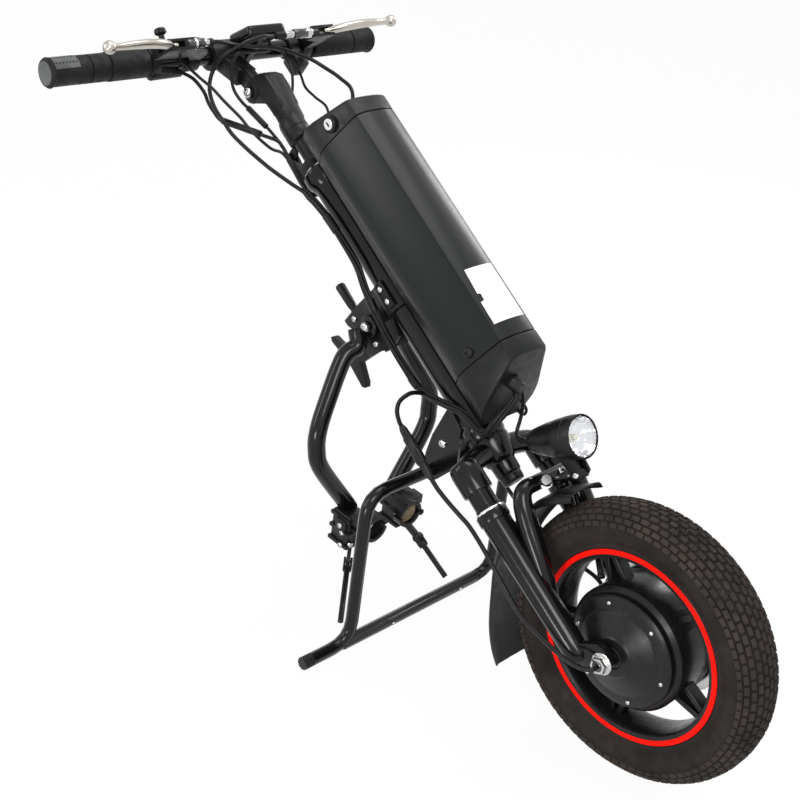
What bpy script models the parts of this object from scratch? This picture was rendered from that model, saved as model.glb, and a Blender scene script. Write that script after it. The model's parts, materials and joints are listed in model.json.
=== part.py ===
"""Motorised front-wheel attachment for a manual wheelchair.

One wheel with a hub motor in a short spring fork, a reclined column with its battery, a handlebar
with twist throttle and two levers, a folding stand, and a swinging docking frame with two clamps.
Metres. The column leans back, so its parts are modelled in a frame whose Z runs up the steering axis.
"""

import math

import bmesh
import bpy
from mathutils import Matrix, Vector

# Placement
RECLINE = math.radians(32.5)
WHEEL_Y = -0.3206
AXIS_FOOT_Y = 0.0184
AXIS_FOOT_Z = 0.1301
GAP = 0.0003
RUNNING_GAP = 0.0001

# Wheel
TYRE_RADIUS = 0.159
TYRE_HALF_WIDTH = 0.0303
WHEEL_OFFSET = -0.0343
RIM_RADIUS = 0.1110
RIM_HALF_WIDTH = 0.0225
HUB_RADIUS = 0.071
COVER_RADIUS = 0.064
ROTOR_RADIUS = 0.080
AXLE_RADIUS = 0.006
AXLE_SHOULDER = 0.0085
WHEEL_BORE = 0.0086
AXLE_HALF_LENGTH = 0.0755

# Fork
LEG_X = 0.060
LEG_Y = -0.005
LEG_RADIUS = 0.0168
STANCHION_RADIUS = 0.0127
STEERER_RADIUS = 0.0143
CROWN_SLEEVE_RADIUS = 0.0158

# Mudguard, as angles above the horizontal about the wheel, and headlight
GUARD_TIP = math.radians(50)
GUARD_MIDDLE = math.radians(37)
GUARD_LOW = math.radians(-9)
GUARD_FLAP = math.radians(-41)
LAMP_PIVOT = Vector((0.0, -0.093, 0.1795))
LENS_CENTRE = Vector((0.0, -0.1245, 0.2092))

# Column
COLUMN_RADIUS = 0.019
COLUMN_BORE = 0.0163
BEARING_BORE = 0.01455
CUP_RADIUS = 0.0245
STAND_PLATE_X = 0.0188

# Battery
BATTERY_HALF_WIDTH = 0.0437
BATTERY_BACK = -0.036
BATTERY_FRONT = -0.126
BATTERY_BOTTOM_SEAM = 0.340
BATTERY_TOP_SEAM = 0.648

# Handlebar
BAR_Y = 0.041
BAR_Z = 0.879
BAR_RADIUS = 0.011
BAR_HALF_LENGTH = 0.2515
BAR_CENTRE = Vector((0.0, BAR_Y, BAR_Z))
STEM_PIVOT = Vector((0.0, 0.018, 0.800))
LATCH_HINGE = Vector((0.0, 0.0300, 0.7060))
DISPLAY_CENTRE = Vector((0.0310, -0.0003, 0.8717))
DISPLAY_TILT = 0.46
THROTTLE_EXIT = Vector((-0.0680, 0.0505, 0.8655))
THROTTLE_SPOUT = Vector((0.0420, 0.0040, -0.0055))
REACH = Vector((0.0, -0.9063, -0.4226))
LEVER_AXIS = Vector((0.0, 0.4226, -0.9063))
LEVER_PIVOT_X = 0.1180
LEVER_PIVOT_REACH = 0.0660
BARREL_REACH = 0.0690
KNOB_X = -0.1160
KNOB_REACH = 0.0480
WIRE_PITCH = 0.015

# Docking frame, stand and clamps
BARREL = Vector((0.0, 0.0487, 0.4700))
BARREL_PIN = 0.0050
BRACKET_X = 0.0135
FRAME_LEVER_HINGE = Vector((0.0, 0.0790, 0.4520))
LOCK_PIN_Y = 0.0785
FRAME_TUBE = 0.011
STAND_PIVOT = Vector((0.0, 0.088, 0.2885))
STAND_TUBE = 0.008
STAND_TOP_X = 0.122
STAND_FOOT_X = 0.126
STAND_FOOT_Y = 0.301
FOOT_REACH = -0.200
LEVEL = (math.pi / 2 - RECLINE, 0.0, 0.0)
CLAMP_HOLE = (0.0300, 0.0900)
CLAMP_BORE = 0.0140
CLAMP_WALL = 0.0050
JAW_HINGE = (0.0513, 0.0848)
CAM_PIVOTS = {-1: (-0.0520, 0.3912, 0.0375), 1: (0.0520, 0.3711, 0.0455)}
CAM_TIPS = {-1: (-0.1150, 0.3300, 0.0110), 1: (0.0575, 0.3185, 0.0120)}
CAM_ROOTS = {-1: (0.0500, 0.4000, 0.0570), 1: (0.0520, 0.3960, 0.0570)}

ROUND = 20
FINE = 32


def clear_scene():
    for item in list(bpy.data.objects):
        bpy.data.objects.remove(item, do_unlink=True)


def new_collection(name):
    group = bpy.data.collections.new(name)
    bpy.context.scene.collection.children.link(group)
    return group


def make_material(name, colour, roughness, metallic=0.0):
    material = bpy.data.materials.new(name)
    material.use_nodes = True
    shader = material.node_tree.nodes["Principled BSDF"]
    shader.inputs["Base Color"].default_value = (*colour, 1.0)
    shader.inputs["Roughness"].default_value = roughness
    shader.inputs["Metallic"].default_value = metallic
    return material


clear_scene()
PARTS = new_collection("wheelchair_power_attachment")
CUTTERS = new_collection("cutters")

GLOSS_BLACK = make_material("gloss_black_paint", (0.012, 0.012, 0.014), 0.18)
SATIN_BLACK = make_material("satin_black_metal", (0.022, 0.022, 0.024), 0.42)
DARK_CASE = make_material("dark_grey_case", (0.030, 0.033, 0.035), 0.5)
BLACK_PLASTIC = make_material("black_plastic", (0.018, 0.018, 0.020), 0.45)
SOFT_RUBBER = make_material("grip_rubber", (0.020, 0.020, 0.021), 0.75)
TYRE_RUBBER = make_material("tyre_rubber", (0.045, 0.038, 0.034), 0.85)
CABLE_BLACK = make_material("cable_sheath", (0.012, 0.012, 0.013), 0.4)
BRIGHT_STEEL = make_material("bright_steel", (0.70, 0.70, 0.70), 0.22, 1.0)
POLISHED_ALUMINIUM = make_material("polished_aluminium", (0.86, 0.86, 0.86), 0.15, 1.0)
CLEAR_LENS = make_material("clear_lens", (0.90, 0.92, 0.94), 0.05)
WINDINGS = make_material("copper_windings", (0.70, 0.34, 0.18), 0.35, 1.0)
CELL_WRAP = make_material("cell_wrap", (0.05, 0.20, 0.45), 0.5)


def make_frame(name, location, tilt):
    empty = bpy.data.objects.new(name, None)
    empty.empty_display_size = 0.05
    empty.location = location
    empty.rotation_euler = (tilt, 0.0, 0.0)
    PARTS.objects.link(empty)
    return empty


STEER = make_frame(
    "steering_axis", (0.0, WHEEL_Y + AXIS_FOOT_Y, AXIS_FOOT_Z), RECLINE - math.pi / 2
)


def from_ground(x, y, z):
    """A point given from the wheel's contact point, along and above the ground, in the column's frame."""
    along = y - AXIS_FOOT_Y
    above = z - AXIS_FOOT_Z
    sine = math.sin(RECLINE)
    cosine = math.cos(RECLINE)
    return Vector((x, along * sine - above * cosine, along * cosine + above * sine))


# Building tools


def keep(item, name, material, parent=STEER):
    item.name = name
    item.data.name = name
    item.data.materials.clear()
    item.data.materials.append(material)
    if item.parent is None:
        item.parent = parent
    return item


def link_object(name, data, location=(0.0, 0.0, 0.0)):
    item = bpy.data.objects.new(name, data)
    item.location = location
    item.parent = STEER
    PARTS.objects.link(item)
    return item


def smooth(item, angle=35.0):
    item.data.shade_smooth()
    item.data.set_sharp_from_angle(angle=math.radians(angle))
    return item


def aim(direction, turn=0.0):
    """Rotation that takes local Z to a direction."""
    base = Vector(direction).normalized().to_track_quat("Z", "Y")
    return (base.to_matrix() @ Matrix.Rotation(turn, 3, "Z")).to_euler()


def block(name, centre, size, radius=0.0, rotation=(0.0, 0.0, 0.0)):
    mesh = bpy.data.meshes.new(name)
    shape = bmesh.new()
    bmesh.ops.create_cube(shape, size=1.0)
    bmesh.ops.scale(shape, vec=size, verts=shape.verts)
    shape.to_mesh(mesh)
    shape.free()
    item = link_object(name, mesh, centre)
    item.rotation_euler = rotation
    if radius > 0.0:
        bevel = item.modifiers.new("rounded", "BEVEL")
        bevel.width = radius
        bevel.segments = 2
    return item


def bar(name, start, end, width, thickness, flat):
    """Flat bar between two points, with its thickness along a given direction."""
    along = (end - start).normalized()
    item = block(name, (start + end) / 2, (thickness, (end - start).length, width))
    item.rotation_euler = Matrix((flat, along, flat.cross(along))).transposed().to_euler()
    return item


def rod(name, start, end, radius, steps=16, end_radius=None, turn=0.0):
    """Cylinder or cone between two points."""
    start = Vector(start)
    end = Vector(end)
    mesh = bpy.data.meshes.new(name)
    shape = bmesh.new()
    bmesh.ops.create_cone(
        shape,
        cap_ends=True,
        segments=steps,
        radius1=radius,
        radius2=radius if end_radius is None else end_radius,
        depth=(end - start).length,
    )
    shape.to_mesh(mesh)
    shape.free()
    item = link_object(name, mesh, (start + end) / 2)
    item.rotation_euler = aim(end - start, turn)
    return smooth(item)


def ball(name, centre, radius, steps=12):
    mesh = bpy.data.meshes.new(name)
    shape = bmesh.new()
    bmesh.ops.create_uvsphere(shape, u_segments=steps, v_segments=steps // 2, radius=radius)
    shape.to_mesh(mesh)
    shape.free()
    return smooth(link_object(name, mesh, centre))


def turned(name, profile, at, direction=(0.0, 0.0, 1.0), steps=ROUND, closed=True, turn=0.0):
    """Turned shape from (radius, height) pairs that run down its outer side and up its bore."""
    mesh = bpy.data.meshes.new(name)
    shape = bmesh.new()
    points = [shape.verts.new((radius, 0.0, height)) for radius, height in profile]
    for first, second in zip(points, points[1:]):
        shape.edges.new((first, second))
    if closed:
        shape.edges.new((points[-1], points[0]))
    shape.to_mesh(mesh)
    shape.free()
    item = link_object(name, mesh, at)
    item.rotation_euler = aim(direction, turn)
    screw = item.modifiers.new("turned", "SCREW")
    screw.axis = "Z"
    screw.angle = math.tau
    screw.steps = steps
    screw.render_steps = steps
    screw.use_merge_vertices = True
    screw.merge_threshold = 0.00005
    screw.use_smooth_shade = False
    screw.use_normal_calculate = False
    return item


def outline_curve(name, outlines, thickness):
    """Flat sheet in its own XY plane; outlines inside the first one are holes."""
    curve = bpy.data.curves.new(name, "CURVE")
    curve.dimensions = "2D"
    curve.fill_mode = "BOTH"
    curve.extrude = thickness / 2
    for outline in outlines:
        spline = curve.splines.new("POLY")
        spline.points.add(len(outline) - 1)
        spline.use_cyclic_u = True
        for point, (x, y) in zip(spline.points, outline):
            point.co = (x, y, 0.0, 1.0)
    return curve


def settle(item):
    """Turns a curve object into a mesh object, so that it can be cut and joined."""
    bpy.context.view_layer.update()
    graph = bpy.context.evaluated_depsgraph_get()
    mesh = bpy.data.meshes.new_from_object(item.evaluated_get(graph))
    shape = bmesh.new()
    shape.from_mesh(mesh)
    bmesh.ops.remove_doubles(shape, verts=shape.verts, dist=0.00001)
    shape.to_mesh(mesh)
    shape.free()
    solid = link_object(item.name + "_solid", mesh, item.location)
    solid.rotation_euler = item.rotation_euler
    curve = item.data
    bpy.data.objects.remove(item, do_unlink=True)
    bpy.data.curves.remove(curve)
    return solid


# Local X to frame Y, local Y to frame Z, local Z to frame X
SIDE_ON = Matrix(((0.0, 0.0, 1.0), (1.0, 0.0, 0.0), (0.0, 1.0, 0.0))).to_euler()


def side_plate(name, outlines, x, thickness, origin=(0.0, 0.0)):
    """Plate whose outline is given as (y, z) pairs, centred on a plane across X."""
    moved = [[(y - origin[0], z - origin[1]) for y, z in outline] for outline in outlines]
    item = link_object(
        name, outline_curve(name, moved, thickness), (x, origin[0], origin[1])
    )
    item.rotation_euler = SIDE_ON
    return settle(item)


def circle(centre, radius, steps=16, start=0.0):
    return [
        (
            centre[0] + radius * math.cos(start + math.tau * step / steps),
            centre[1] + radius * math.sin(start + math.tau * step / steps),
        )
        for step in range(steps)
    ]


def through(points, spacing):
    """Evenly spaced points on a smooth curve through hand-chosen ones."""
    points = [Vector(point) for point in points]
    ends = [2 * points[0] - points[1], *points, 2 * points[-1] - points[-2]]
    fine = []
    for index in range(1, len(ends) - 2):
        before, first, second, after = ends[index - 1 : index + 3]
        for part in range(16):
            t = part / 16
            fine.append(
                0.5
                * (
                    2 * first
                    + (second - before) * t
                    + (2 * before - 5 * first + 4 * second - after) * t * t
                    + (3 * first - before - 3 * second + after) * t**3
                )
            )
    fine.append(points[-1])
    length = sum((second - first).length for first, second in zip(fine, fine[1:]))
    count = max(2, round(length / spacing))
    path = [fine[0]]
    walked = 0.0
    for first, second in zip(fine, fine[1:]):
        step = (second - first).length
        while len(path) < count and walked + step >= length * len(path) / count:
            share = (length * len(path) / count - walked) / step
            path.append(first.lerp(second, share))
        walked += step
    path.append(fine[-1])
    return path


def tube(name, points, radius, spacing=None, resolution=2, origin=None):
    """Round bar along a path, with closed ends."""
    path = through(points, spacing) if spacing else [Vector(point) for point in points]
    place = Vector(origin) if origin is not None else Vector((0.0, 0.0, 0.0))
    curve = bpy.data.curves.new(name, "CURVE")
    curve.dimensions = "3D"
    curve.bevel_depth = radius
    curve.bevel_resolution = resolution
    curve.use_fill_caps = True
    spline = curve.splines.new("POLY")
    spline.points.add(len(path) - 1)
    for point, position in zip(spline.points, path):
        point.co = (*(position - place), 1.0)
    spline.use_smooth = True
    return link_object(name, curve, place)


def combine(item, tool, operation):
    if tool.type == "CURVE":
        tool = settle(tool)
    for group in list(tool.users_collection):
        group.objects.unlink(tool)
    CUTTERS.objects.link(tool)
    tool.hide_render = True
    tool.display_type = "WIRE"
    boolean = item.modifiers.new(operation.lower(), "BOOLEAN")
    boolean.operation = operation
    boolean.solver = "EXACT"
    boolean.object = tool
    return item


def add(item, *tools):
    for tool in tools:
        combine(item, tool, "UNION")
    return item


def cut(item, *tools):
    for tool in tools:
        combine(item, tool, "DIFFERENCE")
    return item


# Wheel

WHEEL_CENTRE = Vector((0.0, WHEEL_OFFSET, 0.0))
ACROSS = (1.0, 0.0, 0.0)
# Turns the wheel's vertices so that one stands on the ground
WHEEL_TURN = -RECLINE


def both_sides(half):
    """Mirrors a half profile of (radius, offset) pairs, from the middle out, into a full one."""
    return [(radius, offset) for radius, offset in reversed(half)] + [
        (radius, -offset) for radius, offset in half if offset > 0.0
    ]


def tyre():
    outside = [
        (TYRE_RADIUS, 0.0),
        (0.1573, 0.012),
        (0.1505, 0.0222),
        (0.136, TYRE_HALF_WIDTH),
        (0.1115, 0.0232),
    ]
    inside = [(0.1535, 0.0), (0.148, 0.0165), (0.135, 0.0263), (0.1115, 0.0185)]
    profile = both_sides(outside) + [(r, -x) for r, x in both_sides(inside)]
    item = turned("tyre", profile, WHEEL_CENTRE, ACROSS, FINE, turn=WHEEL_TURN)
    return keep(item, "tyre", TYRE_RUBBER)


def spoke_bars():
    """Five pairs of straight spokes that close up towards the rim."""
    shape = bmesh.new()
    for pair in range(5):
        for side in (-1, 1):
            angle = math.radians(7.5 + 72 * pair) + RECLINE - math.pi / 2
            inner = Vector((0.0, 0.069, side * 0.008 * 1.15))
            outer = Vector((0.0, 0.0985, side * 0.004 * 1.15))
            lean = math.atan2(outer.z - inner.z, outer.y - inner.y)
            placed = (
                Matrix.Rotation(angle, 4, "X")
                @ Matrix.Translation((inner + outer) / 2)
                @ Matrix.Rotation(lean, 4, "X")
                @ Matrix.Diagonal((0.016, (outer - inner).length, 0.0068, 1.0))
            )
            bmesh.ops.create_cube(shape, size=1.0, matrix=placed)
    mesh = bpy.data.meshes.new("spokes")
    shape.to_mesh(mesh)
    shape.free()
    return link_object("spokes", mesh, WHEEL_CENTRE)


def wheel_casting():
    rim_half = [(RIM_RADIUS, RIM_HALF_WIDTH), (RIM_RADIUS, 0.0150), (0.1050, 0.0100)]
    rim = rim_half + [(r, -x) for r, x in reversed(rim_half)]
    rim += [
        (0.1010, -RIM_HALF_WIDTH),
        (0.0975, -0.0150),
        (0.0968, 0.0),
        (0.0975, 0.0150),
        (0.1010, RIM_HALF_WIDTH),
    ]
    item = turned("wheel_casting", rim, WHEEL_CENTRE, ACROSS, FINE, turn=WHEEL_TURN)
    shell = [
        (0.068, 0.034),
        (HUB_RADIUS, 0.028),
        (HUB_RADIUS, -0.024),
        (0.066, -0.0283),
        (0.0535, -0.0283),
        (0.0535, 0.020),
        (WHEEL_BORE, 0.020),
        (WHEEL_BORE, 0.0362),
        (0.024, 0.0362),
        (0.024, 0.034),
    ]
    hub = turned("hub_ring", shell, WHEEL_CENTRE, ACROSS, FINE, turn=WHEEL_TURN)
    add(item, hub, spoke_bars())
    return keep(item, "wheel_casting", GLOSS_BLACK)


def hub_cover():
    profile = [
        (WHEEL_BORE, -0.0286),
        (0.0635, -0.0286),
        (COVER_RADIUS, -0.0330),
        (0.060, -0.0375),
        (0.046, -0.0405),
        (0.040, -0.0440),
        (0.022, -0.0455),
        (0.020, -0.0490),
        (WHEEL_BORE, -0.0500),
    ]
    item = turned("hub_cover", profile, WHEEL_CENTRE, ACROSS, FINE, turn=WHEEL_TURN)
    return keep(item, "hub_cover", GLOSS_BLACK)


def brake_rotor():
    waves = 60
    edge = []
    for step in range(waves):
        radius = ROTOR_RADIUS if step % 5 else ROTOR_RADIUS - 0.0025
        angle = math.tau * step / waves
        edge.append((radius * math.cos(angle), radius * math.sin(angle)))
    windows = []
    for arm in range(6):
        start = math.tau * arm / 6
        windows.append(
            [
                (r * math.cos(start + a), r * math.sin(start + a))
                for r, a in ((0.064, 0.16), (0.064, 0.52), (0.064, 0.88), (0.031, 0.80), (0.031, 0.24))
            ]
        )
    sheet = outline_curve("brake_rotor", [edge, circle((0.0, 0.0), 0.0095, 20), *windows], 0.0020)
    item = link_object("brake_rotor", sheet, WHEEL_CENTRE + Vector((0.0375, 0.0, 0.0)))
    item.rotation_euler = SIDE_ON
    item = settle(item)
    return keep(item, "brake_rotor", BRIGHT_STEEL)


# Axle, motor core and fork


def axle():
    profile = [
        (0.0, AXLE_HALF_LENGTH),
        (AXLE_RADIUS, AXLE_HALF_LENGTH),
        (AXLE_RADIUS, 0.0545),
        (AXLE_SHOULDER, 0.0545),
        (AXLE_SHOULDER, -0.0535),
        (AXLE_RADIUS, -0.0535),
        (AXLE_RADIUS, -AXLE_HALF_LENGTH),
        (0.0, -AXLE_HALF_LENGTH),
    ]
    item = turned("axle", profile, WHEEL_CENTRE, ACROSS, ROUND, closed=False)
    return keep(item, "axle", BRIGHT_STEEL)


def stator():
    half = [(0.0515, 0.014), (0.040, 0.018), (0.0088, 0.018)]
    profile = [half[0]] + [(radius, -x) for radius, x in half] + half[:0:-1]
    item = turned("stator", profile, WHEEL_CENTRE, ACROSS, ROUND)
    return keep(item, "stator", WINDINGS)


def axle_nut(side, name):
    def out(distance):
        return WHEEL_CENTRE + Vector((side * distance, 0.0, 0.0))

    flange = rod(name, out(0.0653), out(0.0669), 0.0125, 20)
    hexagon = rod(name + "_hex", out(0.0663), out(0.0738), 0.0100, 6)
    bore = rod(name + "_bore", out(0.05), out(0.09), AXLE_RADIUS + GAP, 16)
    add(flange, hexagon)
    cut(flange, bore)
    return keep(flange, name, BRIGHT_STEEL)


def lower_leg(side, name):
    place = (side * LEG_X, LEG_Y, 0.0)
    profile = [
        (0.0172, 0.1985),
        (0.0172, 0.1930),
        (LEG_RADIUS, 0.1915),
        (LEG_RADIUS, 0.0700),
        (0.0150, 0.0200),
        (0.0110, 0.0120),
        (0.0, 0.0120),
        (0.0, 0.0620),
        (STANCHION_RADIUS + RUNNING_GAP, 0.0620),
        (STANCHION_RADIUS + RUNNING_GAP, 0.1985),
    ]
    item = turned(name, profile, place)
    lug = block(name + "_lug", (side * 0.0597, -0.0260, 0.0068), (0.0100, 0.0400, 0.0300), 0.003)
    inner = WHEEL_CENTRE + Vector((side * 0.04, 0.0, 0.0))
    outer = WHEEL_CENTRE + Vector((side * 0.08, 0.0, 0.0))
    slot = rod(name + "_slot", inner, outer, AXLE_RADIUS + GAP, 16)
    add(item, lug)
    cut(item, slot)
    return keep(item, name, GLOSS_BLACK)


def fork_arch():
    near = [
        (-0.0520, 0.001, 0.062),
        (-0.0480, -0.030, 0.158),
        (-0.0455, -0.042, 0.190),
        (-0.0380, -0.046, 0.197),
    ]
    middle = [(-0.020, -0.049, 0.198), (0.020, -0.049, 0.198)]
    far = [(-x, y, z) for x, y, z in reversed(near)]
    item = settle(tube("fork_arch", near + middle + far, 0.0074, resolution=1))
    for side in (-1, 1):
        foot = (side * LEG_X, LEG_Y, 0.0)
        top = (side * LEG_X, LEG_Y, 0.25)
        cut(item, rod("leg_space", foot, top, LEG_RADIUS + 2 * GAP, ROUND))
    hanger = block("lamp_hanger", (0.0, -0.0610, 0.1925), (0.0110, 0.0300, 0.0055), 0.001, (0.42, 0.0, 0.0))
    ear_outline = [
        (-0.066, 0.1940),
        (-0.088, 0.1890),
        (-0.0985, 0.1830),
        (-0.0985, 0.1760),
        (-0.0900, 0.1735),
        (-0.070, 0.1840),
        (-0.060, 0.1890),
    ]
    ear = side_plate("lamp_ear", [ear_outline], 0.0, 0.0090)
    upward = from_ground(0.0, math.cos(GUARD_MIDDLE), math.sin(GUARD_MIDDLE)) - from_ground(0.0, 0.0, 0.0)
    boss = rod("guard_boss", WHEEL_CENTRE + upward * 0.1868, WHEEL_CENTRE + upward * 0.1950, 0.006, 12)
    ends = Vector((0.02, 0.0, 0.0))
    pin_hole = rod("ear_hole", LAMP_PIVOT - ends, LAMP_PIVOT + ends, 0.0026, 12)
    add(item, hanger, ear, boss)
    cut(item, pin_hole)
    return keep(item, "fork_arch", GLOSS_BLACK)


def guard_radius(angle):
    """Mudguard radius about the wheel centre: it lifts away from the tyre towards its flap."""
    marks = ((GUARD_FLAP, 0.205), (GUARD_LOW, 0.189), (GUARD_MIDDLE, 0.1855), (GUARD_TIP, 0.177))
    for (low, low_radius), (high, high_radius) in zip(marks, marks[1:]):
        if angle <= high:
            share = (angle - low) / (high - low)
            return low_radius + share * (high_radius - low_radius)
    return marks[-1][1]


def mudguard():
    """Curved channel over the tyre, drawn as a strip and thickened."""
    rows = 14
    across = (-0.031, -0.027, -0.014, 0.014, 0.027, 0.031)
    drop = (0.0070, 0.0016, 0.0, 0.0, 0.0016, 0.0070)
    shape = bmesh.new()
    grid = []
    for row in range(rows + 1):
        angle = GUARD_FLAP + (GUARD_TIP - GUARD_FLAP) * row / rows
        line = []
        for x, lower in zip(across, drop):
            radius = guard_radius(angle) - lower
            ground = (x, radius * math.cos(angle), TYRE_RADIUS + radius * math.sin(angle))
            line.append(shape.verts.new(from_ground(*ground)))
        grid.append(line)
    for first, second in zip(grid, grid[1:]):
        for index in range(len(across) - 1):
            shape.faces.new((first[index], first[index + 1], second[index + 1], second[index]))
    bmesh.ops.recalc_face_normals(shape, faces=shape.faces)
    mesh = bpy.data.meshes.new("mudguard")
    shape.to_mesh(mesh)
    shape.free()
    item = link_object("mudguard", mesh)
    solid = item.modifiers.new("thickness", "SOLIDIFY")
    solid.thickness = 0.0018
    solid.offset = 0.0
    return keep(item, "mudguard", BLACK_PLASTIC)


def brake_caliper():
    """Caliper body that straddles the rotor behind the left leg."""
    item = block("brake_caliper", (0.0405, 0.0230, 0.0520), (0.0300, 0.0270, 0.0360), 0.003, (0.35, 0.0, 0.0))
    slot = block("rotor_slot", (0.0375, -0.0050, 0.0300), (0.0046, 0.0900, 0.0900))
    leg = rod("leg_space", (LEG_X, LEG_Y, 0.0), (LEG_X, LEG_Y, 0.25), LEG_RADIUS + 2 * GAP, ROUND)
    inner = WHEEL_CENTRE - Vector((0.05, 0.0, 0.0))
    outer = WHEEL_CENTRE + Vector((0.0358, 0.0, 0.0))
    drum = rod("drum_space", inner, outer, 0.0722, FINE)
    arm = rod("actuator", (0.0500, 0.0240, 0.0520), (0.0620, 0.0240, 0.0520), 0.0095, 16)
    add(item, arm)
    cut(item, slot, leg, drum)
    return keep(item, "brake_caliper", SATIN_BLACK)


# Headlight

def headlight_body():
    profile = [
        (0.0, 0.0560),
        (0.0226, 0.0700),
        (0.0230, 0.0750),
        (0.0245, 0.0750),
        (0.0240, 0.060),
        (0.0215, 0.042),
        (0.0172, 0.020),
        (0.0130, 0.004),
        (0.0095, 0.0),
        (0.0, 0.0),
    ]
    back = LENS_CENTRE - REACH * 0.0750
    item = turned("headlight_body", profile, back, REACH, closed=False)
    foot_outline = [
        (-0.080, 0.2100),
        (-0.104, 0.1980),
        (-0.1010, 0.1770),
        (-0.0930, 0.1735),
        (-0.0855, 0.1790),
    ]
    foot = side_plate("lamp_foot", [foot_outline], 0.0, 0.0166)
    slot = block("foot_slot", (0.0, -0.0900, 0.1790), (0.0096, 0.0300, 0.0265), 0.0, (0.42, 0.0, 0.0))
    ends = Vector((0.0115, 0.0, 0.0))
    pin = rod("lamp_pin", LAMP_PIVOT - ends, LAMP_PIVOT + ends, 0.0025, 12)
    route = [back + REACH * 0.003, back - REACH * 0.009, back + Vector((0.0, 0.015, 0.013))]
    lead = tube("lamp_lead", route, 0.0030)
    cut(foot, slot)
    add(item, foot, pin, lead)
    return keep(item, "headlight_body", BLACK_PLASTIC)


def headlight_lens():
    profile = [(0.0, 0.0040), (0.0135, 0.0026), (0.0220, -0.0010), (0.0220, -0.0036), (0.0, -0.0036)]
    item = turned("headlight_lens", profile, LENS_CENTRE, REACH, closed=False)
    return keep(item, "headlight_lens", CLEAR_LENS)


# Steering


def fork_crown():
    profile = [
        (0.0, 0.6600),
        (STEERER_RADIUS, 0.6600),
        (STEERER_RADIUS, 0.2747),
        (0.0235, 0.2747),
        (0.0235, 0.2690),
        (0.0200, 0.2500),
        (0.0150, 0.2440),
        (0.0150, 0.2280),
        (0.0, 0.2280),
    ]
    item = turned("fork_crown", profile, (0.0, 0.0, 0.0), closed=False)
    half = [(0.034, -0.002, 0.2590), (0.0530, -0.004, 0.2535), (LEG_X, LEG_Y, 0.2450)]
    yoke = [(-x, y, z) for x, y, z in reversed(half)] + [(0.0, 0.0, 0.2600)] + half
    add(item, tube("yoke", yoke, 0.0125))

    def on_leg(side, height):
        return (side * LEG_X, LEG_Y, height)

    for side in (-1, 1):
        add(item, rod("sleeve", on_leg(side, 0.2226), on_leg(side, 0.2600), CROWN_SLEEVE_RADIUS, ROUND))
    for side in (-1, 1):
        bore = STANCHION_RADIUS + GAP
        cut(item, rod("sleeve_bore", on_leg(side, 0.20), on_leg(side, 0.2553), bore, ROUND))
    hollow = rod("steerer_bore", (0.0, 0.0, 0.30), (0.0, 0.0, 0.70), 0.0113, ROUND)
    cut(item, hollow)
    return keep(item, "fork_crown", GLOSS_BLACK)


def stanchion(side, name):
    item = rod(name, (side * LEG_X, LEG_Y, 0.0850), (side * LEG_X, LEG_Y, 0.2550), STANCHION_RADIUS, ROUND)
    return keep(item, name, POLISHED_ALUMINIUM)


def lock_nut():
    item = rod("lock_nut", (0.0, 0.0, 0.6626), (0.0, 0.0, 0.6770), 0.0215, 6)
    bore = rod("lock_nut_bore", (0.0, 0.0, 0.60), (0.0, 0.0, 0.70), 0.0147, ROUND)
    inner = rod("lock_nut_top", (0.0, 0.0, 0.6606), (0.0, 0.0, 0.6650), 0.0180, ROUND)
    cut(item, bore, inner)
    return keep(item, "lock_nut", SATIN_BLACK)


# Column, brackets and battery

STAND_PLATE = [
    (0.004, 0.3300),
    (0.054, 0.3190),
    (0.078, 0.3096),
    (0.098, 0.2990),
    (0.099, 0.2780),
    (0.088, 0.2755),
    (0.048, 0.2700),
    (0.008, 0.3000),
]


def column_tube():
    profile = [
        (0.0225, 0.6620),
        (CUP_RADIUS, 0.6590),
        (CUP_RADIUS, 0.6470),
        (0.0200, 0.6400),
        (COLUMN_RADIUS, 0.6360),
        (COLUMN_RADIUS, 0.3020),
        (0.0205, 0.2970),
        (CUP_RADIUS, 0.2930),
        (CUP_RADIUS, 0.2800),
        (0.0225, 0.2750),
        (BEARING_BORE, 0.2750),
        (BEARING_BORE, 0.2920),
        (COLUMN_BORE, 0.2960),
        (COLUMN_BORE, 0.6440),
        (BEARING_BORE, 0.6480),
        (BEARING_BORE, 0.6620),
    ]
    item = turned("column_tube", profile, (0.0, 0.0, 0.0), turn=math.pi / ROUND)
    pivot_hole = circle((STAND_PIVOT.y, STAND_PIVOT.z), STAND_TUBE + RUNNING_GAP, 24)
    for side in (-1, 1):
        add(item, side_plate("stand_plate", [STAND_PLATE, pivot_hole], side * STAND_PLATE_X, 0.0032))
    for low, high in ((0.350, 0.452), (0.505, 0.625)):
        rail = block("battery_rail", (0.0, -0.0261, (low + high) / 2), (0.0170, 0.0192, high - low))
        add(item, rail)
    return keep(item, "column_tube", GLOSS_BLACK)


BATTERY_OUTLINE = [
    (0.0, BATTERY_FRONT - 0.0035),
    (0.0160, BATTERY_FRONT - 0.0025),
    (0.0295, BATTERY_FRONT + 0.0020),
    (BATTERY_HALF_WIDTH, -0.0700),
    (BATTERY_HALF_WIDTH - 0.0005, -0.0560),
    (0.0350, -0.0430),
    (0.0320, BATTERY_BACK),
]


def battery_outline(inset=0.0):
    """Section of the battery case as (x, y) pairs, narrowed by a wall thickness."""
    middle = (BATTERY_FRONT + BATTERY_BACK) / 2
    half_depth = (BATTERY_BACK - BATTERY_FRONT) / 2
    wide = (BATTERY_HALF_WIDTH - inset) / BATTERY_HALF_WIDTH
    deep = (half_depth - inset) / half_depth
    right = [(x * wide, middle + (y - middle) * deep) for x, y in BATTERY_OUTLINE]
    left = [(-x, y) for x, y in reversed(right) if x > 0.0]
    return right + left


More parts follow.
